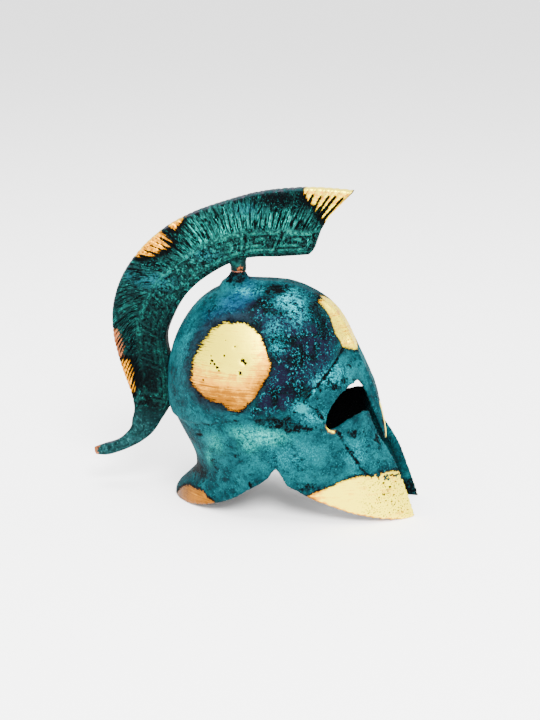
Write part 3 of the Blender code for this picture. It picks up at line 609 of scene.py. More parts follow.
def patina_and_painted_light(points, folded, patches, creases):
    """How strongly each colour of the patina lies on the shell, with the painted highlights and the
    painted shade of the brow crease.
    """
    x, _, z = points.T
    side = points[:, [0, 2]]
    behind = rise(-x + 0.25 * (z - 58.0), -4.0, 6.0)
    haze = rise(patches.dome, -7.5, -1.2) * behind + 0.5 * rise(patches.dome, -2.4, -0.4)
    halo = 0.8 * rise(patches.dome, -1.2, -0.1)
    rim = 0.7 * (rise(patches.cheek, -1.2, -0.2) + rise(patches.neck, -1.3, -0.2))
    waist = rise(inside_by(side, WAIST_STAIN) + 1.2 * lumps(points, 2.4, 33), -2.0, 1.6)
    waist *= 0.35 + 0.42 * rise(x, 1.0, 10.0)
    foot = 0.8 * patches.far_slit * rise(-z, -14.0, -2.0)
    in_facet = inside_by(side, FACET)
    facet = rise(in_facet, -0.25, 0.15)
    around_facet = 0.55 * rise(in_facet, -1.3, -0.3) * (1.0 - facet)
    # Painted highlight along the lit lower side of the brow crease
    worn = 1.4 * rise(-line_distance(folded, BROW_LIGHT), -0.9, -0.3)
    spots = blobs(side, DARK_BLOBS)
    return {
        "dark": np.maximum.reduce([creases, halo, rim, waist, foot, around_facet, spots]),
        "haze": np.clip(haze * (1.05 + 0.30 * lumps(points, 3.5, 35)), 0.0, 1.0),
        "navy": rise(inside_by(side, NAVY_STAIN) + 1.5 * lumps(points, 5.0, 31), -2.5, 1.5),
        "blue": rise(inside_by(side, BLUE_STAIN) + lumps(points, 4.0, 32), -3.5, 2.0),
        "facet": facet,
        "bright": np.maximum(blobs(side, BRIGHT_BLOBS), worn),
        "mint_highlight": blobs(side, MINT_HIGHLIGHTS),
    }


def shell_mesh():
    mesh = fine_copy("helmet_shell", SHELL_VOXEL)
    smooth(mesh, SHELL_SMOOTHING)
    points = read_points(mesh)
    reach = line_distance(points, FAR_SILL) / FAR_SILL_SPREAD
    points[:, 2] += FAR_SILL_LIFT * np.exp(-reach ** 2)
    write_points(mesh, points)
    normals = read_normals(mesh)
    folded = points.copy()
    folded[:, 1] = -np.abs(points[:, 1])

    within = inner_side(points, normals)
    patches = bare_patches(points, normals)
    bare = np.maximum.reduce([patches.dome, patches.forehead, patches.cheek, patches.neck])
    bare = np.where(within > 0.5, np.minimum(bare, -3.0), bare)
    sink, creases = pressed(points, folded)
    looks = patina_and_painted_light(points, folded, patches, creases)

    crust = rise(-bare, -0.2, 0.8)
    swell = 0.13 * layers(points, 11.0, 2, 1) * crust + 0.05 * lumps(points, 7.0, 4)
    grain = 0.055 * layers(points, 1.5, 2, 7) * crust * (0.6 + 0.8 * looks["navy"])
    moved = points + normals * (swell + grain - sink - 0.05 - 0.04 * (1.0 - crust))[:, None]
    write_points(mesh, keep_in_box(moved, "helmet_shell"))
    tell(mesh, bare=bare, within=within, **looks, **gold_tints(points, normals, patches))
    return mesh


def crest_place(station, share):
    """X and Z in mm at stations and shares of the depth."""
    lean = np.radians(read_stations("lean", station))
    reach = share * read_stations("depth", station)
    x = read_stations("x", station) + reach * np.cos(lean)
    z = read_stations("z", station) + reach * np.sin(lean)
    return x, z


def run_along(share):
    """Stations and the distance run at each in mm, on a line at one share of the depth."""
    fine = np.linspace(0.0, len(STATIONS) - 1, 2400)
    x, z = crest_place(fine, share)
    return fine, np.concatenate([[0.0], np.cumsum(np.hypot(np.diff(x), np.diff(z)))])


def run_at(station, share):
    """The distance run at some stations."""
    return np.interp(station, *run_along(share))


def crest_columns():
    """Outer and root station of each column, and its distance along the outer edge."""
    fine, run = run_along(1.0)
    length = np.interp(HAIR_END, fine, run)
    marks = np.linspace(0.0, length, int(length / COLUMN_STEP))
    outer = np.interp(marks, run, fine)
    hair = read_stations("depth", outer)
    hair *= 1.0 - read_stations("root", outer)
    swept = marks - SWEEP * (marks / length) ** 2.2 * hair
    root = np.interp(swept, run, fine)
    tail = np.linspace(HAIR_END, len(STATIONS) - 1, TAIL_COLUMNS + 1)[1:]
    lag = (HAIR_END - root[-1]) * np.exp(-(tail - HAIR_END) / 0.4)
    outer = np.concatenate([outer, tail])
    root = np.concatenate([root, tail - lag])
    marks = np.concatenate([marks, np.interp(tail, fine, run)])
    return outer, root, marks, length


def strand_grooves(marks, length, wider=1.0):
    """Depth from 0 to 1 of the filed grooves at distances along the outer edge."""
    depth = np.zeros(len(marks))
    place = FIRST_GROOVE
    number = 0
    while place < length:
        chance = lattice(np.array([[number, 3, 5]]), 11)[0]
        other = lattice(np.array([[number, 8, 2]]), 12)[0]
        coarse = read_off(FILING, "coarse", place)
        deep = read_off(FILING, "deep", place)
        width = (0.38 + 0.08 * other) * coarse * wider
        groove = (0.8 + 0.2 * other) * deep * np.exp(-((marks - place) / width) ** 2)
        depth = np.maximum(depth, groove)
        place += STRAND_PITCH * coarse * (1.0 + 0.22 * chance)
        number += 1
    return depth * (marks < length)


def key_ribs(run, up):
    """1 on the ribs of the key pattern, at distances along the band and shares up it."""
    first, last = run_at([KEY_FIRST, KEY_LAST], KEY_SHARE)
    pitch = (last - first) / KEY_UNITS
    unit = np.floor((run - first) / pitch)
    along = run - first - unit * pitch
    height = (up - KEY_LOW) / (KEY_HIGH - KEY_LOW) * KEY_HEIGHT
    spots = np.stack([along.ravel(), height.ravel(), np.zeros(along.size)], axis=1)
    path = [(x * pitch / KEY_CELLS_LONG, y * KEY_HEIGHT / KEY_CELLS_HIGH, 0.0) for x, y in KEY_PATH]
    reach = line_distance(spots, path)
    following = np.array(path) + [pitch, 0.0, 0.0]
    reach = np.minimum(reach, line_distance(spots, following)).reshape(along.shape)
    ribs = rise(-reach, -KEY_RIB / 2 - KEY_EDGE, -KEY_RIB / 2 + KEY_EDGE)
    return ribs * (unit >= 0) * (unit < KEY_UNITS)


def ridge(share, middle, width=0.03):
    """1 on a line along the crest at one share of the depth, fading on both sides."""
    return np.exp(-((share - middle) / width) ** 2)


def grid_faces(lines, columns):
    """Quads of a ring of lines, with its two ends closed by quads and triangles."""
    faces = []
    for line in range(lines):
        other = (line + 1) % lines
        for place in range(columns - 1):
            start = line * columns + place
            across = other * columns + place
            faces.append((start, start + 1, across + 1, across))
    for place, turned in ((0, False), (columns - 1, True)):
        low = 1
        high = lines - 1
        strips = [(0, low, high)]
        while high - low > 2:
            strips.append((low, low + 1, high - 1, high))
            low += 1
            high -= 1
        strips.append((low, low + 1, high))
        for strip in strips:
            face = tuple(line * columns + place for line in strip)
            faces.append(face[::-1] if turned else face)
    return faces


def face_outwards(mesh):
    turned = bmesh.new()
    turned.from_mesh(mesh)
    bmesh.ops.recalc_face_normals(turned, faces=turned.faces)
    turned.to_mesh(mesh)
    turned.free()
    mesh.update()


def crest_mesh():
    outer, root, marks, length = crest_columns()
    hair_rows = 1.0 + np.linspace(0.0, 1.0, HAIR_ROWS + 1)[1:]
    share = np.concatenate([np.linspace(0.0, 1.0, BAND_ROWS), hair_rows])[:, None]
    over = np.clip(share - 1.0, 0.0, 1.0)
    station = root + (outer - root) * over
    root_share = read_stations("root", station)
    x, z = crest_place(station, np.minimum(share, 1.0) * root_share + over * (1.0 - root_share))

    tail = np.clip((station - HAIR_END) / (TAIL_START - HAIR_END), 0.0, 1.0)
    plume = 1.0 - tail
    flat, tail_flat, shift = (read_off(PROFILE, name, share) for name in ("half", "tail", "shift"))
    half = read_stations("half", station) * (flat + (tail_flat - flat) * tail)
    x = x + shift * np.clip(1.0 - run_at(station, 0.5) / SHIFT_FADE, 0.0, 1.0)

    ribs = key_ribs(run_at(station, KEY_SHARE), np.broadcast_to(share, x.shape))
    clear = np.maximum(rise(x, -20.0, -3.0), 0.75 * rise(-z, -74.0, -62.0))
    ribs = ribs * (share < 1.0) * (0.55 + 0.45 * clear)
    rail = (ridge(share, 0.99) + 0.7 * ridge(share, 0.17)) * plume
    notch = ridge(share, 1.02, 0.025) * plume
    filing = strand_grooves(marks, length)
    broken = 0.75 + 0.35 * lumps(np.stack([x, z, z * 0.0], axis=-1), 3.0, 21)
    hair = rise(share, 1.0, 1.07) * plume
    grooves = filing * broken * hair
    fingers = strand_grooves(marks, length, 1.7) * (1.0 - rise(share, 1.42, 1.80)) * hair

    sides = []
    for sign in (-1.0, 1.0):
        side = np.stack([x, sign * half, z], axis=-1)
        wander = 0.10 * layers(side, 1.4, 3, 41) + 0.12 * lumps(side, 6.0, 44)
        lift = KEY_RISE * ribs + 0.22 * rail - 0.55 * grooves - 0.25 * notch + wander - 0.06
        side[..., 1] += sign * lift
        sides.append(side)
    right, left = sides
    middle = (left + right) / 2
    way = np.stack([x[-1] - x[0], np.zeros(len(outer)), z[-1] - z[0]], axis=-1)
    way /= np.linalg.norm(way, axis=-1, keepdims=True)
    cut = 0.22 * filing[:, None]
    top = [
        middle[-1] + (right[-1] - middle[-1]) * part - way * cut * (1.0 - 0.5 * abs(part))
        for part in (0.7, 0.0, -0.7)
    ]
    grid = np.array([
        middle[0],
        (middle[0] + right[0]) / 2,
        *right[:-1],
        right[-1] - way * (cut + TOP_ROUNDING),
        *top,
        left[-1] - way * (cut + TOP_ROUNDING),
        *left[-2::-1],
        (middle[0] + left[0]) / 2,
    ])

    def around(values):
        """Values per row of one side, laid out over the whole ring."""
        values = np.broadcast_to(values, x.shape)
        return values[[0, 0, *range(len(values)), -1, -1, -1, *range(len(values))[::-1], 0]].ravel()

    points = grid.reshape(-1, 3)
    mesh = bpy.data.meshes.new("crest_skin")
    faces = grid_faces(len(grid), len(outer))
    mesh.from_pydata((keep_in_box(points, "crest") * MM).tolist(), [], faces)
    face_outwards(mesh)

    flank = points[:, [0, 2]]
    patches = (TIP_PATCH, UPPER_PATCH, BACK_PATCH)
    bare = np.maximum.reduce([inside_by(flank, patch) for patch in patches])
    bare = np.minimum(bare, line_distance(points * [1.0, 0.0, 1.0], UPPER_STROKE) - 1.5)
    edge = around(rise(share, 1.93, 2.0))
    tell(
        mesh,
        groove=around(np.maximum(grooves, 0.8 * notch)),
        rib=around(np.maximum(ribs, rail)),
        hair=around(hair),
        tail=around(tail),
        clear=around(clear),
        edge=edge,
        mark=around(marks),
        reach=around(HAIR_REACH * share),
        filed=around(np.maximum(grooves * (1.0 - rise(share, 1.78, 1.94)), fingers)),
        bare=bare,
        # Painted light and shade on the bare metal: paler at the front and along the lit top face,
        # oranger at the back.
        warm=np.where(flank[:, 0] > 0.0, 0.25, 0.75) - 0.45 * edge,
        copper=np.maximum(inside_by(flank, COPPER_PATCH), TAIL_COPPER_X - flank[:, 0]),
        dark=np.maximum(blobs(flank, CREST_DARK), rise(bare, -3.4, -0.6)),
        cyan=blobs(flank, CREST_CYAN),
        green=blobs(flank, CREST_SHEEN),
        gloom=blobs(flank, CREST_GLOOM),
    )
    return mesh


def ring_mesh(name, rings, sides=48):
    """Closed upright form around the post's place, with an oval ring per row."""
    mesh = bmesh.new()
    loops = []
    for ring in rings:
        middle = np.array([POST_X + ring.shift, 0.0])
        loop = []
        for number in range(sides):
            turn = 2 * math.pi * number / sides
            reach = ring.long * math.cos(turn)
            spot = np.array([middle[0] + reach, ring.wide * math.sin(turn), ring.z])
            swell = 1.0 + 0.05 * float(lumps(spot[None, :], 1.6, 61)[0])
            spot[:2] = (spot[:2] - middle) * swell + middle
            loop.append(mesh.verts.new(spot * MM))
        loops.append(loop)
    for lower, upper in zip(loops, loops[1:]):
        for number in range(sides):
            following = (number + 1) % sides
            mesh.faces.new((lower[number], lower[following], upper[following], upper[number]))
    mesh.faces.new(loops[0][::-1])
    mesh.faces.new(loops[-1])
    data = bpy.data.meshes.new(name)
    mesh.to_mesh(data)
    mesh.free()
    return data


def post_mesh():
    mesh = ring_mesh("crest_post", POST_RINGS)
    points = read_points(mesh)
    count = len(points)
    absent = "groove rib tail edge cyan green mark reach filed warm clear gloom".split()
    tell(
        mesh,
        **{name: np.zeros(count) for name in absent},
        bare=np.full(count, OUTSIDE),
        copper=POST_COPPER_REACH - np.linalg.norm(points - POST_COPPER, axis=1),
        dark=np.full(count, 0.15),
        hair=np.ones(count),
    )
    return mesh


class Shader:
    """Short names for the nodes that the materials are made of."""

    def __init__(self, name):
        self.material = bpy.data.materials.new(name)
        self.material.use_nodes = True
        self.tree = self.material.node_tree
        self.main = self.tree.nodes["Principled BSDF"]
        coordinates = self.tree.nodes.new("ShaderNodeTexCoord")
        scaled = self.tree.nodes.new("ShaderNodeVectorMath")
        scaled.operation = "SCALE"
        scaled.inputs["Scale"].default_value = 1.0 / MM
        self.tree.links.new(coordinates.outputs["Object"], scaled.inputs[0])
        self.place = scaled.outputs[0]

    def put(self, socket, value):
        if isinstance(value, bpy.types.NodeSocket):
            self.tree.links.new(value, socket)
        elif isinstance(value, tuple):
            socket.default_value = (*value, 1.0) if len(socket.default_value) == 4 else value
        else:
            socket.default_value = value

    def told(self, name):
        node = self.tree.nodes.new("ShaderNodeAttribute")
        node.attribute_name = name
        return node.outputs["Fac"]

    def stretch(self, x, y, z):
        """Place in mm, squeezed along each axis."""
        node = self.tree.nodes.new("ShaderNodeVectorMath")
        node.operation = "MULTIPLY"
        self.put(node.inputs[0], self.place)
        node.inputs[1].default_value = (x, y, z)
        return node.outputs[0]

    def noise(self, size, detail=3.0, rough=0.55, twist=0.0, place=None):
        """Noise around 0.5 with features of about that size in mm."""
        node = self.tree.nodes.new("ShaderNodeTexNoise")
        self.put(node.inputs["Vector"], place or self.place)
        node.inputs["Scale"].default_value = 1.0 / size
        node.inputs["Detail"].default_value = detail
        node.inputs["Roughness"].default_value = rough
        node.inputs["Distortion"].default_value = twist
        return node.outputs["Fac"]

    def maths(self, operation, first, second=0.0, third=None):
        node = self.tree.nodes.new("ShaderNodeMath")
        node.operation = operation
        self.put(node.inputs[0], first)
        self.put(node.inputs[1], second)
        if third is not None:
            self.put(node.inputs[2], third)
        return node.outputs[0]

    def times(self, first, second):
        return self.maths("MULTIPLY", first, second)

    def plus(self, first, second):
        return self.maths("ADD", first, second)

    def most(self, first, second):
        return self.maths("MAXIMUM", first, second)

    def rest(self, share):
        """What is left of 1."""
        return self.maths("SUBTRACT", 1.0, share)

    def ruffled(self, value, noise, reach):
        """A value moved up and down by a noise around 0.5."""
        return self.maths("MULTIPLY_ADD", self.maths("SUBTRACT", noise, 0.5), reach, value)

    def along_hair(self, across, along):
        """Place in the comb of the hair: across the strands and along them."""
        node = self.tree.nodes.new("ShaderNodeCombineXYZ")
        self.put(node.inputs[0], self.times(self.told("mark"), across))
        self.put(node.inputs[1], self.times(self.told("reach"), along))
        return node.outputs[0]

    def pits(self):
        """Distance to the nearest pit, as a share of its radius."""
        nearest = None
        flat = self.stretch(1.0, 0.25, 1.0)
        for pit in PITS:
            node = self.tree.nodes.new("ShaderNodeVectorMath")
            node.operation = "DISTANCE"
            self.put(node.inputs[0], flat)
            node.inputs[1].default_value = (pit.x, 0.25 * pit.y, pit.z)
            share = self.maths("DIVIDE", node.outputs["Value"], pit.radius)
            nearest = share if nearest is None else self.maths("MINIMUM", nearest, share)
        ragged = self.noise(0.5, 2.0, 0.6)
        return self.ruffled(nearest, ragged, 2.2)

    def rise(self, value, low, high, bottom=0.0, top=1.0):
        node = self.tree.nodes.new("ShaderNodeMapRange")
        node.interpolation_type = "SMOOTHSTEP"
        self.put(node.inputs["Value"], value)
        node.inputs["From Min"].default_value = low
        node.inputs["From Max"].default_value = high
        node.inputs["To Min"].default_value = bottom
        node.inputs["To Max"].default_value = top
        return node.outputs["Result"]

    def mix(self, share, first, second):
        node = self.tree.nodes.new("ShaderNodeMix")
        node.data_type = "RGBA"
        self.put(node.inputs[0], share)
        self.put(node.inputs[6], first)
        self.put(node.inputs[7], second)
        return node.outputs[2]

    def bump(self, height, distance, strength=1.0, under=None):
        node = self.tree.nodes.new("ShaderNodeBump")
        node.inputs["Strength"].default_value = strength
        node.inputs["Distance"].default_value = distance * MM
        self.put(node.inputs["Height"], height)
        if under is not None:
            self.put(node.inputs["Normal"], under)
        return node.outputs["Normal"]

    def finish(self, colour, roughness, metallic, normal):
        self.put(self.main.inputs["Base Color"], colour)
        self.put(self.main.inputs["Roughness"], roughness)
        self.put(self.main.inputs["Metallic"], metallic)
        self.put(self.main.inputs["Normal"], normal)
        self.main.inputs["Specular IOR Level"].default_value = 0.02
        return self.material


# Colours of patina and metal, with lit and shaded copies of some of them for painted light and
# shade
BLACK = (0.0002, 0.0005, 0.0008)
NAVY = (0.0028, 0.0028, 0.0088)
DEEP_TEAL = (0.0009, 0.0094, 0.0125)
TEAL = (0.0020, 0.0320, 0.0385)
TURQUOISE = (0.0030, 0.0740, 0.0840)
PALE_TURQUOISE = (0.0040, 0.3900, 0.4300)
MINT = (0.0090, 0.4600, 0.3900)
DEEP_GREEN = (0.0009, 0.0050, 0.0053)
DULL_GREEN = (0.0037, 0.0206, 0.0194)
# The pale, plain, orange and deep golds are lit and shaded copies of the bare brass, for painted
# light and shade.
GOLD = (0.78, 0.320, 0.001)
PALE_GOLD = (1.00, 0.820, 0.010)
ORANGE_GOLD = (0.24, 0.080, 0.0005)
SHADED_GOLD = (0.090, 0.030, 0.0003)
BURNT = (0.06, 0.020, 0.002)
COPPER = (0.30, 0.092, 0.030)
PINK_COPPER = (0.30, 0.110, 0.070)
TOP_RIM_HIGHLIGHT = (0.0340, 0.0340, 0.0440)
DUST = (0.0037, 0.1562, 0.1750)
VEIN = (0.0006, 0.0063, 0.0081)
DEEP_BLUE = (0.0010, 0.0160, 0.0400)
BLUE = (0.0030, 0.0480, 0.0900)
BLUE_SHADE = (0.0006, 0.0050, 0.0113)
BLUE_DUST = (0.0030, 0.1500, 0.2000)
DIM_CRACKLE = (0.0016, 0.0260, 0.0330)
CRACKLE = (0.0030, 0.1400, 0.1600)
DIM_SHINE = (0.0030, 0.0900, 0.1150)
DIM_MINT = (0.0075, 0.1313, 0.1250)
DIM_FACET = (0.0040, 0.0950, 0.1050)
LIT_FACET = (0.0050, 0.1700, 0.1800)
ASH = (0.0019, 0.0213, 0.0263)
SLATE = (0.0022, 0.0032, 0.0055)
PALE_SLATE = (0.0050, 0.0120, 0.0180)
SOOT = (0.0020, 0.0015, 0.0010)
MOSS = (0.0056, 0.0531, 0.0450)
DIM_HAIR = (0.0060, 0.0750, 0.0640)
LIT_HAIR = (0.0070, 0.2800, 0.2250)
GLINT = (0.0100, 0.3800, 0.3200)
CYAN = (0.0050, 0.0750, 0.0940)
DIM_RIB = (0.0030, 0.0280, 0.0260)
LIT_RIB = (0.0050, 0.1100, 0.0800)
BLOOM = (0.0060, 0.1250, 0.1050)
TAIL_SHADE = (0.0013, 0.0088, 0.0094)
TAIL_TEAL = (0.0075, 0.0375, 0.0400)
TAIL_FLAKE = (0.0187, 0.0938, 0.0938)
GLOOM = (0.0006, 0.0040, 0.0045)
PLUME_BLACK = (0.0002, 0.0007, 0.0009)
FLECK = (0.0050, 0.1400, 0.1300)
RIM_TEAL = (0.0050, 0.0250, 0.0281)


def shell_patina():
    s = Shader("shell_patina")
    streaks = s.noise(1.0, 3.0, 0.6, place=s.stretch(0.16, 0.16, 2.6))
    ragged = s.noise(0.8, 3.0, 0.65)
    broad = s.noise(7.0, 4.0, 0.6, 0.4)
    mottle = s.noise(2.4, 5.0, 0.70, 0.6)
    fine = s.noise(0.45, 3.0, 0.7)
    flakes = s.noise(1.1, 4.0, 0.74, 0.3)
    clumps = s.noise(3.2, 4.0, 0.65, 0.5)
    specks = s.noise(0.55, 2.0, 0.6)

    colour = s.mix(s.rise(mottle, 0.36, 0.64), DEEP_TEAL, TEAL)
    light = s.times(s.rise(broad, 0.42, 0.66), s.rise(fine, 0.32, 0.66, 0.25, 1.0))
    colour = s.mix(light, colour, TURQUOISE)
    dust = s.times(s.rise(specks, 0.55, 0.66), s.rise(clumps, 0.40, 0.62))
    colour = s.mix(s.times(dust, 0.55), colour, DUST)
    veins = s.times(s.rise(flakes, 0.52, 0.62), s.rise(clumps, 0.36, 0.56, 0.2, 1.0))
    colour = s.mix(s.times(veins, 0.80), colour, VEIN)

    blue = s.mix(s.rise(mottle, 0.36, 0.62), DEEP_BLUE, BLUE)
    blue = s.mix(s.rise(flakes, 0.50, 0.60), blue, BLUE_SHADE)
    blue = s.mix(s.times(dust, 0.9), blue, BLUE_DUST)
    colour = s.mix(s.times(s.told("blue"), 0.92), colour, blue)

    grains = s.noise(0.72, 3.0, 0.72, 0.2)
    crackle = s.rise(grains, 0.530, 0.585)
    crackle = s.times(crackle, s.rise(clumps, 0.46, 0.58, 0.08, 1.0))
    night = s.mix(s.rise(broad, 0.40, 0.58), NAVY, BLACK)
    night = s.mix(crackle, night, s.mix(s.rise(fine, 0.42, 0.60), DIM_CRACKLE, CRACKLE))
    colour = s.mix(s.told("navy"), colour, night)
    # Pale turquoise spots, with the painted highlights beside the brow crease and on the facet
    bright = s.times(s.told("bright"), s.rise(flakes, 0.465, 0.515))
    pale_patina_and_highlight = s.mix(s.rise(fine, 0.42, 0.64), DIM_SHINE, PALE_TURQUOISE)
    colour = s.mix(bright, colour, pale_patina_and_highlight)
    # Painted highlights of mint on the lower shell
    mint_highlight = s.times(s.told("mint_highlight"), s.rise(flakes, 0.34, 0.58))
    colour = s.mix(mint_highlight, colour, s.mix(s.rise(fine, 0.40, 0.66), DIM_MINT, MINT))
    # The facet painted as a lit plane: painted highlight
    sheen = s.mix(s.rise(fine, 0.30, 0.70), DIM_FACET, LIT_FACET)
    colour = s.mix(s.told("facet"), colour, sheen)

    broken = s.rise(clumps, 0.30, 0.70, -0.34, 0.34)
    broken = s.plus(broken, s.rise(ragged, 0.30, 0.70, -0.20, 0.20))
    dark = s.plus(s.told("dark"), broken)
    # Darker where stained and in the grooves; along the brow crease this is painted shade.
    dark_patina_and_shade = s.mix(s.rise(flakes, 0.56, 0.62), BLACK, ASH)
    slate = s.mix(s.rise(mottle, 0.40, 0.62), SLATE, PALE_SLATE)
    colour = s.mix(s.times(s.told("haze"), 0.90), colour, slate)
    colour = s.mix(s.rise(dark, 0.26, 0.80), colour, dark_patina_and_shade)
    # The inside of the shell is painted black: painted shade of the hollow.
    colour = s.mix(s.told("within"), colour, BLACK)

    away = s.told("bare")
    drag = s.times(s.maths("SUBTRACT", streaks, 0.5), s.told("drag"))
    edge = s.plus(drag, away)
    edge = s.ruffled(edge, ragged, 2.0)
    edge = s.ruffled(edge, fine, 1.0)
    bare = s.rise(edge, -0.12, 0.20)
    shadow = s.times(s.rise(edge, -1.3, -0.15), s.rise(ragged, 0.34, 0.60, 0.45, 1.0))
    colour = s.mix(shadow, colour, BLACK)
    holes = s.rise(s.pits(), 0.80, 1.20, 0.0, 1.0)
    brushed = s.noise(1.0, 4.0, 0.65, place=s.stretch(0.09, 0.09, 3.0))
    # Bare metal runs from pale where painted lit to orange and deep where painted in shade, with
    # some brushed tone.
    warm = s.plus(s.told("warm"), s.rise(brushed, 0.36, 0.68, -0.20, 0.20))
    warm = s.plus(warm, s.rise(clumps, 0.34, 0.66, -0.12, 0.16))
    gold = s.mix(s.rise(warm, 0.15, 0.55), PALE_GOLD, GOLD)
    gold = s.mix(s.rise(warm, 0.55, 1.0), gold, ORANGE_GOLD)
    gold = s.mix(s.rise(warm, 1.05, 1.6), gold, SHADED_GOLD)
    singed = s.mix(s.rise(fine, 0.4, 0.6), ORANGE_GOLD, BURNT)
    gold = s.mix(s.rise(edge, 0.05, 0.8, 0.60, 0.0), gold, singed)
    soot = s.times(s.rise(streaks, 0.55, 0.64), s.rise(away, 0.4, 5.0, 1.0, 0.0))
    soot = s.times(soot, s.rise(s.told("drag"), 1.0, 5.0, 0.05, 0.85))
    freckles = s.most(s.rise(specks, 0.595, 0.63), s.rise(flakes, 0.600, 0.625))
    soot = s.most(soot, s.times(freckles, s.told("freckle")))
    gold = s.mix(soot, gold, SOOT)
    colour = s.mix(bare, colour, gold)
    # Painted highlight of pale gold along the eye's lip and the nasal's front edge
    bare_rim_highlight = s.times(s.told("bare_rim_highlight"), s.rise(fine, 0.24, 0.40))
    colour = s.mix(bare_rim_highlight, colour, s.mix(s.rise(s.told("bare_rim_highlight"), 0.35, 0.95), ORANGE_GOLD, PALE_GOLD))
    colour = s.mix(s.rest(holes), colour, BLACK)

    metal = s.times(s.most(bare, bare_rim_highlight), holes)
    metal = s.times(metal, s.rest(s.times(soot, 0.8)))
    metallic = s.times(metal, 0.9)
    roughness = s.rise(metal, 0.0, 1.0, 0.62, 0.42)
    height = s.plus(s.times(flakes, 0.7), s.times(fine, 0.3))
    quiet = s.rise(bare, 0.0, 1.0, 1.0, 0.12)
    normal = s.bump(s.times(height, quiet), 0.40)
    normal = s.bump(s.times(brushed, bare), 0.05, under=normal)
    return s.finish(colour, roughness, metallic, normal)


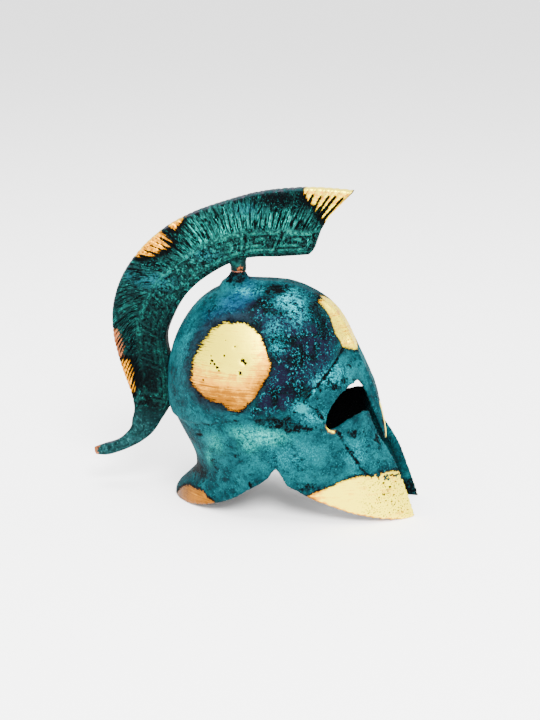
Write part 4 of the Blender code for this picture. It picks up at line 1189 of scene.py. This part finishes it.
def crest_patina():
    s = Shader("crest_patina")
    ragged = s.noise(0.8, 3.0, 0.65)
    broad = s.noise(6.0, 4.0, 0.6, 0.4)
    mottle = s.noise(1.8, 5.0, 0.7, 0.8)
    fine = s.noise(0.45, 3.0, 0.7)
    flakes = s.noise(1.0, 4.0, 0.74, 0.4)
    clumps = s.noise(3.0, 4.0, 0.65, 0.5)
    hair = s.told("hair")
    strands = s.noise(1.0, 2.0, 0.60, place=s.along_hair(0.95, 0.20))
    wisps = s.noise(1.0, 3.0, 0.66, place=s.along_hair(1.9, 0.45))
    slashes = s.noise(1.0, 2.0, 0.55, place=s.along_hair(0.62, 0.26))
    blotches = s.noise(1.6, 4.0, 0.75, 0.6)

    colour = s.mix(s.rise(mottle, 0.38, 0.64), DEEP_GREEN, DULL_GREEN)
    light = s.times(s.rise(broad, 0.42, 0.62, 0.15, 0.7), s.rise(flakes, 0.46, 0.58))
    light = s.times(light, s.rise(s.told("green"), -0.1, 0.7, 0.2, 1.0))
    colour = s.mix(light, colour, MOSS)
    # Painted sheen on the hair strands, where the crest is lit
    green = s.plus(s.told("green"), s.rise(clumps, 0.40, 0.64, -0.1, 0.30))
    lit = s.times(s.rise(strands, 0.38, 0.56, 0.10, 1.0), s.most(green, 0.0))
    lit = s.times(lit, s.rise(blotches, 0.40, 0.56, 0.35, 1.0))
    sheen = s.mix(s.rise(wisps, 0.42, 0.60), DIM_HAIR, LIT_HAIR)
    colour = s.mix(s.times(s.maths("MINIMUM", lit, 1.0), hair), colour, sheen)
    glints = s.times(s.rise(wisps, 0.55, 0.64), s.rise(blotches, 0.48, 0.58))
    glints = s.times(glints, s.rise(s.told("green"), 0.0, 0.8, 0.35, 1.0))
    colour = s.mix(s.times(glints, 0.95), colour, GLINT)
    cyan = s.times(s.told("cyan"), s.rise(flakes, 0.42, 0.58))
    colour = s.mix(cyan, colour, CYAN)
    # Key ribs and rails: lighter patina with a painted highlight, clearest at the front and dimmer
    # in the painted shade.
    lines = s.rise(s.told("rib"), 0.30, 0.62)
    ribs = s.times(lines, s.rise(flakes, 0.40, 0.56, 0.25, 1.0))
    ribs = s.times(ribs, s.rise(s.told("clear"), 0.0, 1.0, 0.30, 1.0))
    ribs = s.times(ribs, s.rise(s.told("gloom"), 0.0, 1.0, 1.0, 0.45))
    rib_patina_and_highlight = s.mix(s.rise(blotches, 0.44, 0.58), DIM_RIB, LIT_RIB)
    colour = s.mix(ribs, colour, rib_patina_and_highlight)
    patina = s.times(s.rise(blotches, 0.50, 0.60), s.rise(s.told("clear"), 0.0, 1.0, 0.75, 0.15))
    patina = s.times(patina, s.rest(s.told("gloom")))
    patina = s.times(patina, s.rest(hair))
    colour = s.mix(patina, colour, BLOOM)
    tail = s.times(s.told("tail"), 0.85)
    worn = s.mix(s.rise(mottle, 0.40, 0.62), TAIL_SHADE, TAIL_TEAL)
    colour = s.mix(tail, colour, s.mix(s.rise(flakes, 0.56, 0.63), worn, TAIL_FLAKE))

    flat = s.times(s.rest(hair), s.rest(s.told("tail")))
    hollow = s.times(flat, s.rise(s.told("rib"), 0.1, 0.5, 0.85, 0.0))
    hollow = s.times(hollow, s.rise(flakes, 0.42, 0.60, 1.0, 0.25))
    worn_rib = s.times(flat, s.rise(mottle, 0.48, 0.62, 0.0, 0.75))
    hollow = s.most(hollow, worn_rib)
    furrow = s.times(s.rise(strands, 0.54, 0.42, 0.0, 0.85), hair)
    dark = s.most(s.told("dark"), s.told("groove"))
    dark = s.most(dark, s.most(hollow, furrow))
    dark = s.plus(dark, s.rise(ragged, 0.30, 0.75, -0.26, 0.26))
    gash = s.times(s.rise(slashes, 0.600, 0.645), hair)
    dark = s.most(dark, gash)
    dark = s.maths("SUBTRACT", dark, s.times(glints, 0.7))
    colour = s.mix(s.times(s.told("gloom"), 0.75), colour, GLOOM)
    colour = s.mix(s.rise(dark, 0.30, 0.85), colour, PLUME_BLACK)
    flecks = s.rise(s.noise(0.55, 2.0, 0.6), 0.605, 0.645)
    flecks = s.times(flecks, s.rise(s.told("dark"), 0.2, 0.7))
    flecks = s.times(flecks, s.rise(s.told("bare"), -3.0, -1.0, 0.8, 0.0))
    flecks = s.times(s.times(flecks, hair), s.maths("SUBTRACT", 0.9, s.told("gloom")))
    colour = s.mix(s.most(flecks, 0.0), colour, FLECK)
    # Painted highlight of grey along the crest's lit top face, broken by teal patina.
    rim = s.times(s.told("edge"), s.rise(ragged, 0.34, 0.56, 0.2, 0.9))
    colour = s.mix(rim, colour, s.mix(s.rise(clumps, 0.42, 0.60), TOP_RIM_HIGHLIGHT, RIM_TEAL))

    away = s.told("bare")
    edge = s.ruffled(away, strands, 4.0)
    edge = s.ruffled(edge, fine, 1.0)
    bare = s.rise(edge, -0.10, 0.25)
    patch = s.ruffled(s.told("copper"), strands, 3.0)
    patch = s.ruffled(patch, ragged, 5.0)
    copper = s.rise(patch, -0.1, 0.5)
    filing = s.plus(s.told("filed"), s.rise(ragged, 0.3, 0.7, -0.12, 0.12))
    bare = s.times(bare, s.rise(filing, 0.20, 0.40, 1.0, 0.0))
    copper = s.times(copper, s.rise(filing, 0.08, 0.26, 0.85, 0.0))
    # Bare metal from pale where painted lit to orange where painted in shade, with some random
    # tone.
    warm = s.plus(s.told("warm"), s.rise(ragged, 0.36, 0.66, -0.25, 0.25))
    gold = s.mix(s.rise(warm, 0.00, 0.40), PALE_GOLD, GOLD)
    gold = s.mix(s.rise(warm, 0.45, 1.0), gold, ORANGE_GOLD)
    singed = s.mix(s.rise(fine, 0.4, 0.6), ORANGE_GOLD, BURNT)
    gold = s.mix(s.rise(edge, 0.1, 1.0, 0.8, 0.0), gold, singed)
    colour = s.mix(copper, colour, COPPER)
    colour = s.mix(bare, colour, gold)
    either = s.most(bare, copper)
    metallic = s.times(either, 0.9)
    roughness = s.rise(either, 0.0, 1.0, 0.58, 0.40)
    height = s.plus(s.times(flakes, 0.7), s.times(fine, 0.3))
    quiet = s.rise(either, 0.0, 1.0, 1.0, 0.15)
    normal = s.bump(s.times(height, quiet), 0.45)
    return s.finish(colour, roughness, metallic, normal)


def braze_metal():
    s = Shader("braze")
    shade = s.mix(s.rise(s.noise(0.9, 3.0, 0.6), 0.4, 0.62), PINK_COPPER, BLACK)
    return s.finish(shade, 0.5, 0.7, s.bump(s.noise(0.5, 3.0, 0.6), 0.2))


def place_piece(name, mesh, material, node=None):
    """Put a mesh on the body, in place of a CAD node where one is given."""
    piece = new_piece(name, mesh)
    mesh.materials.clear()
    mesh.materials.append(material)
    mesh.shade_smooth()
    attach(piece, "root")
    if node:
        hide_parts(node)


def add_floor():
    mesh = bpy.data.meshes.new("floor")
    corner = FLOOR_REACH
    rim = [(-corner, -corner, 0), (corner, -corner, 0), (corner, corner, 0), (-corner, corner, 0)]
    mesh.from_pydata(rim, [], [(0, 1, 2, 3)])
    floor = new_piece("floor", mesh)
    pale = bpy.data.materials.new("pale_floor")
    pale.use_nodes = True
    shader = pale.node_tree.nodes["Principled BSDF"]
    shader.inputs["Base Color"].default_value = (0.97, 0.97, 0.97, 1.0)
    shader.inputs["Roughness"].default_value = 0.9
    shader.inputs["Specular IOR Level"].default_value = 0.0
    mesh.materials.append(pale)


def add_light():
    world = bpy.data.worlds.new("soft_room")
    bpy.context.scene.world = world
    world.use_nodes = True
    background = world.node_tree.nodes["Background"]
    background.inputs["Color"].default_value = (1.0, 1.0, 1.0, 1.0)
    background.inputs["Strength"].default_value = ROOM_LIGHT
    for lamp in LAMPS:
        light = bpy.data.lights.new(lamp.name, "AREA")
        light.shape = "DISK"
        light.size = lamp.size
        light.energy = lamp.watts
        thing = new_piece(lamp.name, light)
        thing.location = (lamp.x, lamp.y, lamp.z)
        thing.rotation_euler = (LAMP_AIM - thing.location).to_track_quat("-Z", "Y").to_euler()


def add_camera():
    """Camera at the photo's viewing angle."""
    azimuth = math.radians(CAMERA_AZIMUTH)
    elevation = math.radians(CAMERA_ELEVATION)
    back = Vector((
        math.sin(azimuth) * math.cos(elevation),
        -math.cos(azimuth) * math.cos(elevation),
        math.sin(elevation),
    ))
    data = bpy.data.cameras.new("camera")
    data.sensor_width = CAMERA_SENSOR
    data.lens = CAMERA_LENS
    data.clip_start = 0.01
    data.clip_end = 60.0
    camera = new_piece("camera", data)
    camera.location = CAMERA_AIM + back * CAMERA_DISTANCE
    camera.rotation_mode = "QUATERNION"
    camera.rotation_quaternion = (-back).to_track_quat("-Z", "Y")
    bpy.context.scene.camera = camera


def main():
    brass = shell_patina()
    plume = crest_patina()
    place_piece("helmet_skin", shell_mesh(), brass, "helmet_shell")
    place_piece("crest_skin", crest_mesh(), plume, "crest")
    place_piece("crest_post", post_mesh(), plume)
    place_piece("braze_seam", ring_mesh("braze_seam", SEAM_RINGS), braze_metal())
    add_floor()
    add_light()
    add_camera()


main()
bpy.context.view_layer.update()
